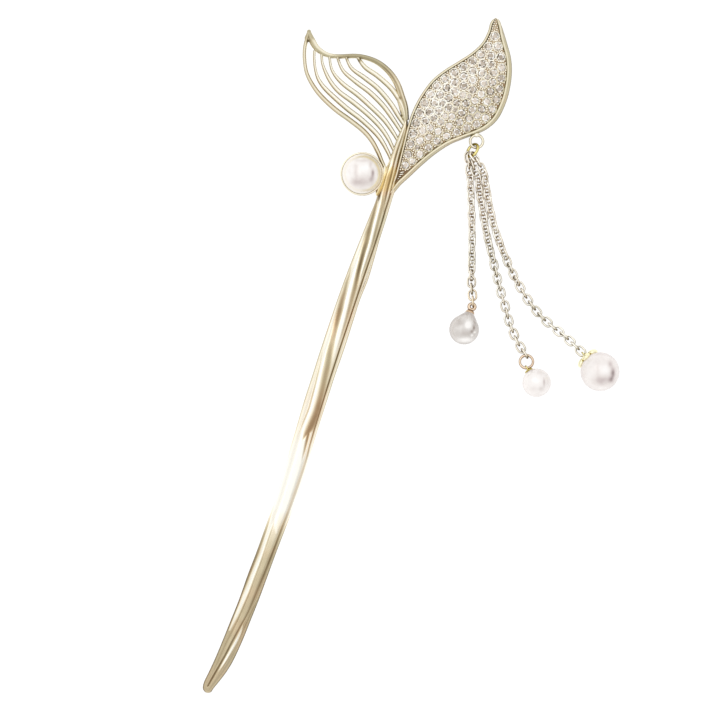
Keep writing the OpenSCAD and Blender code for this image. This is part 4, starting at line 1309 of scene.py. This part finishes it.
teardrop_pose = pointing(TEARDROP_AT, TEARDROP_WAY)
belly = [math.radians(-90 + (90 + TEARDROP_FLANK) * k / BELLY_STEPS) for k in range(BELLY_STEPS + 1)]
section = [(TEARDROP_R * math.cos(a), TEARDROP_R * math.sin(a)) for a in belly]
flank, shoulder = section[-1], (TEARDROP_NECK + 0.08, TEARDROP_TIP - 0.25)
for t in (0.2, 0.4, 0.6, 0.8):
    section.append((flank[0] + (shoulder[0] - flank[0]) * t, flank[1] + (shoulder[1] - flank[1]) * t))
section += [shoulder, (TEARDROP_NECK - 0.1, TEARDROP_TIP), (0, TEARDROP_TIP)]
teardrop = Piece()
teardrop.spin(section, teardrop_pose, 96, marked(0.1, 0.8, TEARDROP_MARKS, teardrop_pose.to_3x3()))
teardrop.done("teardrop_bead", GREY_PEARL, "teardrop_pearl")

cap_top = TEARDROP_TIP + GAP
teardrop_cap = Piece()
# The cap is painted lighter low down and darker over its top, as painted shade
teardrop_cap.spin(
    [(radius, cap_top + height) for radius, height in TEARDROP_CAP], teardrop_pose, 48,
    lambda point: 0.15 - 1.1 * smooth_step(cap_top - 0.2, cap_top + 0.1, point.z),
)
eye(teardrop_cap, TEARDROP_EYE, teardrop_pose, TEARDROP_EYE_R - 0.11, TEARDROP_EYE_SHOW, "Y")
teardrop_cap.done("teardrop_cap_and_eye", ROSE, "teardrop_cap")

round_pearl("small_bead", SMALL_AT, SMALL_R, DROP_PEARL, "small_pearl",
            marked(0.5, 0.65, SMALL_PEARL_MARKS))
round_pearl("large_bead", LARGE_AT, LARGE_R, DROP_PEARL, "large_pearl",
            marked(0.3, 0.65, LARGE_PEARL_MARKS))

small_cap = Piece()
round_cap(small_cap, SMALL_R, 1.1, SMALL_EYE, pointing(SMALL_AT, SMALL_WAY))
small_cap.done("small_cap_and_eye", YELLOW, "small_cap")

# The small ring is a double coil of wire, so it is two rings that lean across each other
ring_way = SMALL_RING_WAY.normalized()
small_ring_pose = (
    Matrix.Translation(SMALL_AT + SMALL_WAY.normalized() * SMALL_EYE + ring_way * SMALL_RING_R)
    @ Matrix.Rotation(math.atan2(ring_way.y, ring_way.x), 4, "Z")
    @ Matrix.Rotation(-math.asin(ring_way.z), 4, "Y")
)
small_ring = Piece()
for lean in (-COIL_LEAN, COIL_LEAN):
    coil = small_ring_pose @ Matrix.Rotation(math.radians(lean), 4, "Y")
    small_ring.ring(SMALL_RING_R, SMALL_RING_SHOW, coil, sides=16, steps=56,
                    tone=wire_tone(coil, -1, 0.4, SMALL_RING_R))
small_ring.done("small_ring_wire", ROSE, "small_ring")

large_pose = pointing(LARGE_AT, LARGE_WAY)
large_cap = Piece()
round_cap(large_cap, LARGE_R, 0.9, LARGE_EYE, large_pose)
for k in range(PETALS):
    petal = large_pose @ Matrix.Rotation(math.pi + 2 * math.pi * k / PETALS, 4, "Z")
    petal = petal @ Matrix.Rotation(PETAL_AT / (LARGE_R + GAP), 4, "Y")
    petal = petal @ egg((0, 0, LARGE_R + GAP + 0.1), PETAL_SIZE)
    # Each petal is painted lighter where it faces up and darker on its sides, as light and shade
    facing = petal.to_3x3()
    large_cap.ball(petal, sides=24, rings=14,
                   tone=lambda point: 1.1 * smooth_step(-0.1, 0.7, (facing @ point).z) - 0.35)
large_cap.done("large_cap_and_eye", YELLOW, "large_cap")

bpy.data.meshes.remove(SPARE)


# Floor, light and camera, in metres

FLOOR_HALF = 3
FLOOR_DROP = 0.00002
SKY_GREYS = (0.97, 0.92, 0.84, 0.85, 0.92, 0.98)
SKY_STRENGTH = 1.12
SCREEN_WAY = Vector((0.82, -0.42, 0.4)).normalized()
SCREEN_DARK = 0.2
OBJECT_MIDDLE = Vector((0, -0.04, 0))

floor_mesh = bmesh.new()
bmesh.ops.create_grid(floor_mesh, x_segments=1, y_segments=1, size=FLOOR_HALF)
floor_data = bpy.data.meshes.new("floor")
floor_mesh.to_mesh(floor_data)
floor_mesh.free()
floor = bpy.data.objects.new("floor", floor_data)
floor.location = (0, 0, -FLOOR_DROP)
bpy.context.scene.collection.objects.link(floor)
floor_data.materials.append(finish("pale_floor", {
    "Base Color": (0.3, 0.3, 0.3, 1), "Roughness": 0.9, "Specular IOR Level": 0,
    "Emission Color": (1, 1, 1, 1), "Emission Strength": 0.85,
})[0])

# The studio is bright overhead and low down, a little darker between, and has a dim screen low on
# the right
world = bpy.data.worlds.new("soft_studio")
world.use_nodes = True
bpy.context.scene.world = world
sky = Nodes(world.node_tree)
way = sky.add("ShaderNodeTexCoord", {}, {}, "Generated")
height = sky.add("ShaderNodeSeparateXYZ", {}, {"Vector": way}, "Z")
near = sky.add("ShaderNodeVectorMath", {"operation": "DOT_PRODUCT"}, {0: way, 1: SCREEN_WAY}, "Value")
sky.feed(world.node_tree.nodes["Background"], {
    "Color": sky.ramp([(grey, grey, grey, 1) for grey in SKY_GREYS], height),
    "Strength": sky.span(near, 0.72, 0.96) * -SCREEN_DARK + SKY_STRENGTH,
})

# One square softbox, which looks at the middle of the object
softbox = bpy.data.lights.new("key", "AREA")
softbox.shape = "SQUARE"
softbox.size = 0.7
softbox.energy = 0.8
key = bpy.data.objects.new("key", softbox)
key.location = (-0.35, 0.4, 1.0)
key.rotation_euler = (OBJECT_MIDDLE - key.location).to_track_quat("-Z", "Y").to_euler()
bpy.context.scene.collection.objects.link(key)

# The photograph is 720 by 719 pixels of 0.25 mm, seen from straight above
VIEW_MIDDLE = (-0.5 * MM, -46.375 * MM)
VIEW_W = 180 * MM
SENSOR = 36
LENS = 400
camera_data = bpy.data.cameras.new("camera")
camera_data.sensor_width = SENSOR
camera_data.lens = LENS
camera_data.clip_end = 20
camera = bpy.data.objects.new("camera", camera_data)
camera.location = (*VIEW_MIDDLE, VIEW_W * LENS / SENSOR + 1.5 * MM)
bpy.context.scene.collection.objects.link(camera)
bpy.context.scene.camera = camera
bpy.context.scene.view_settings.view_transform = "Standard"
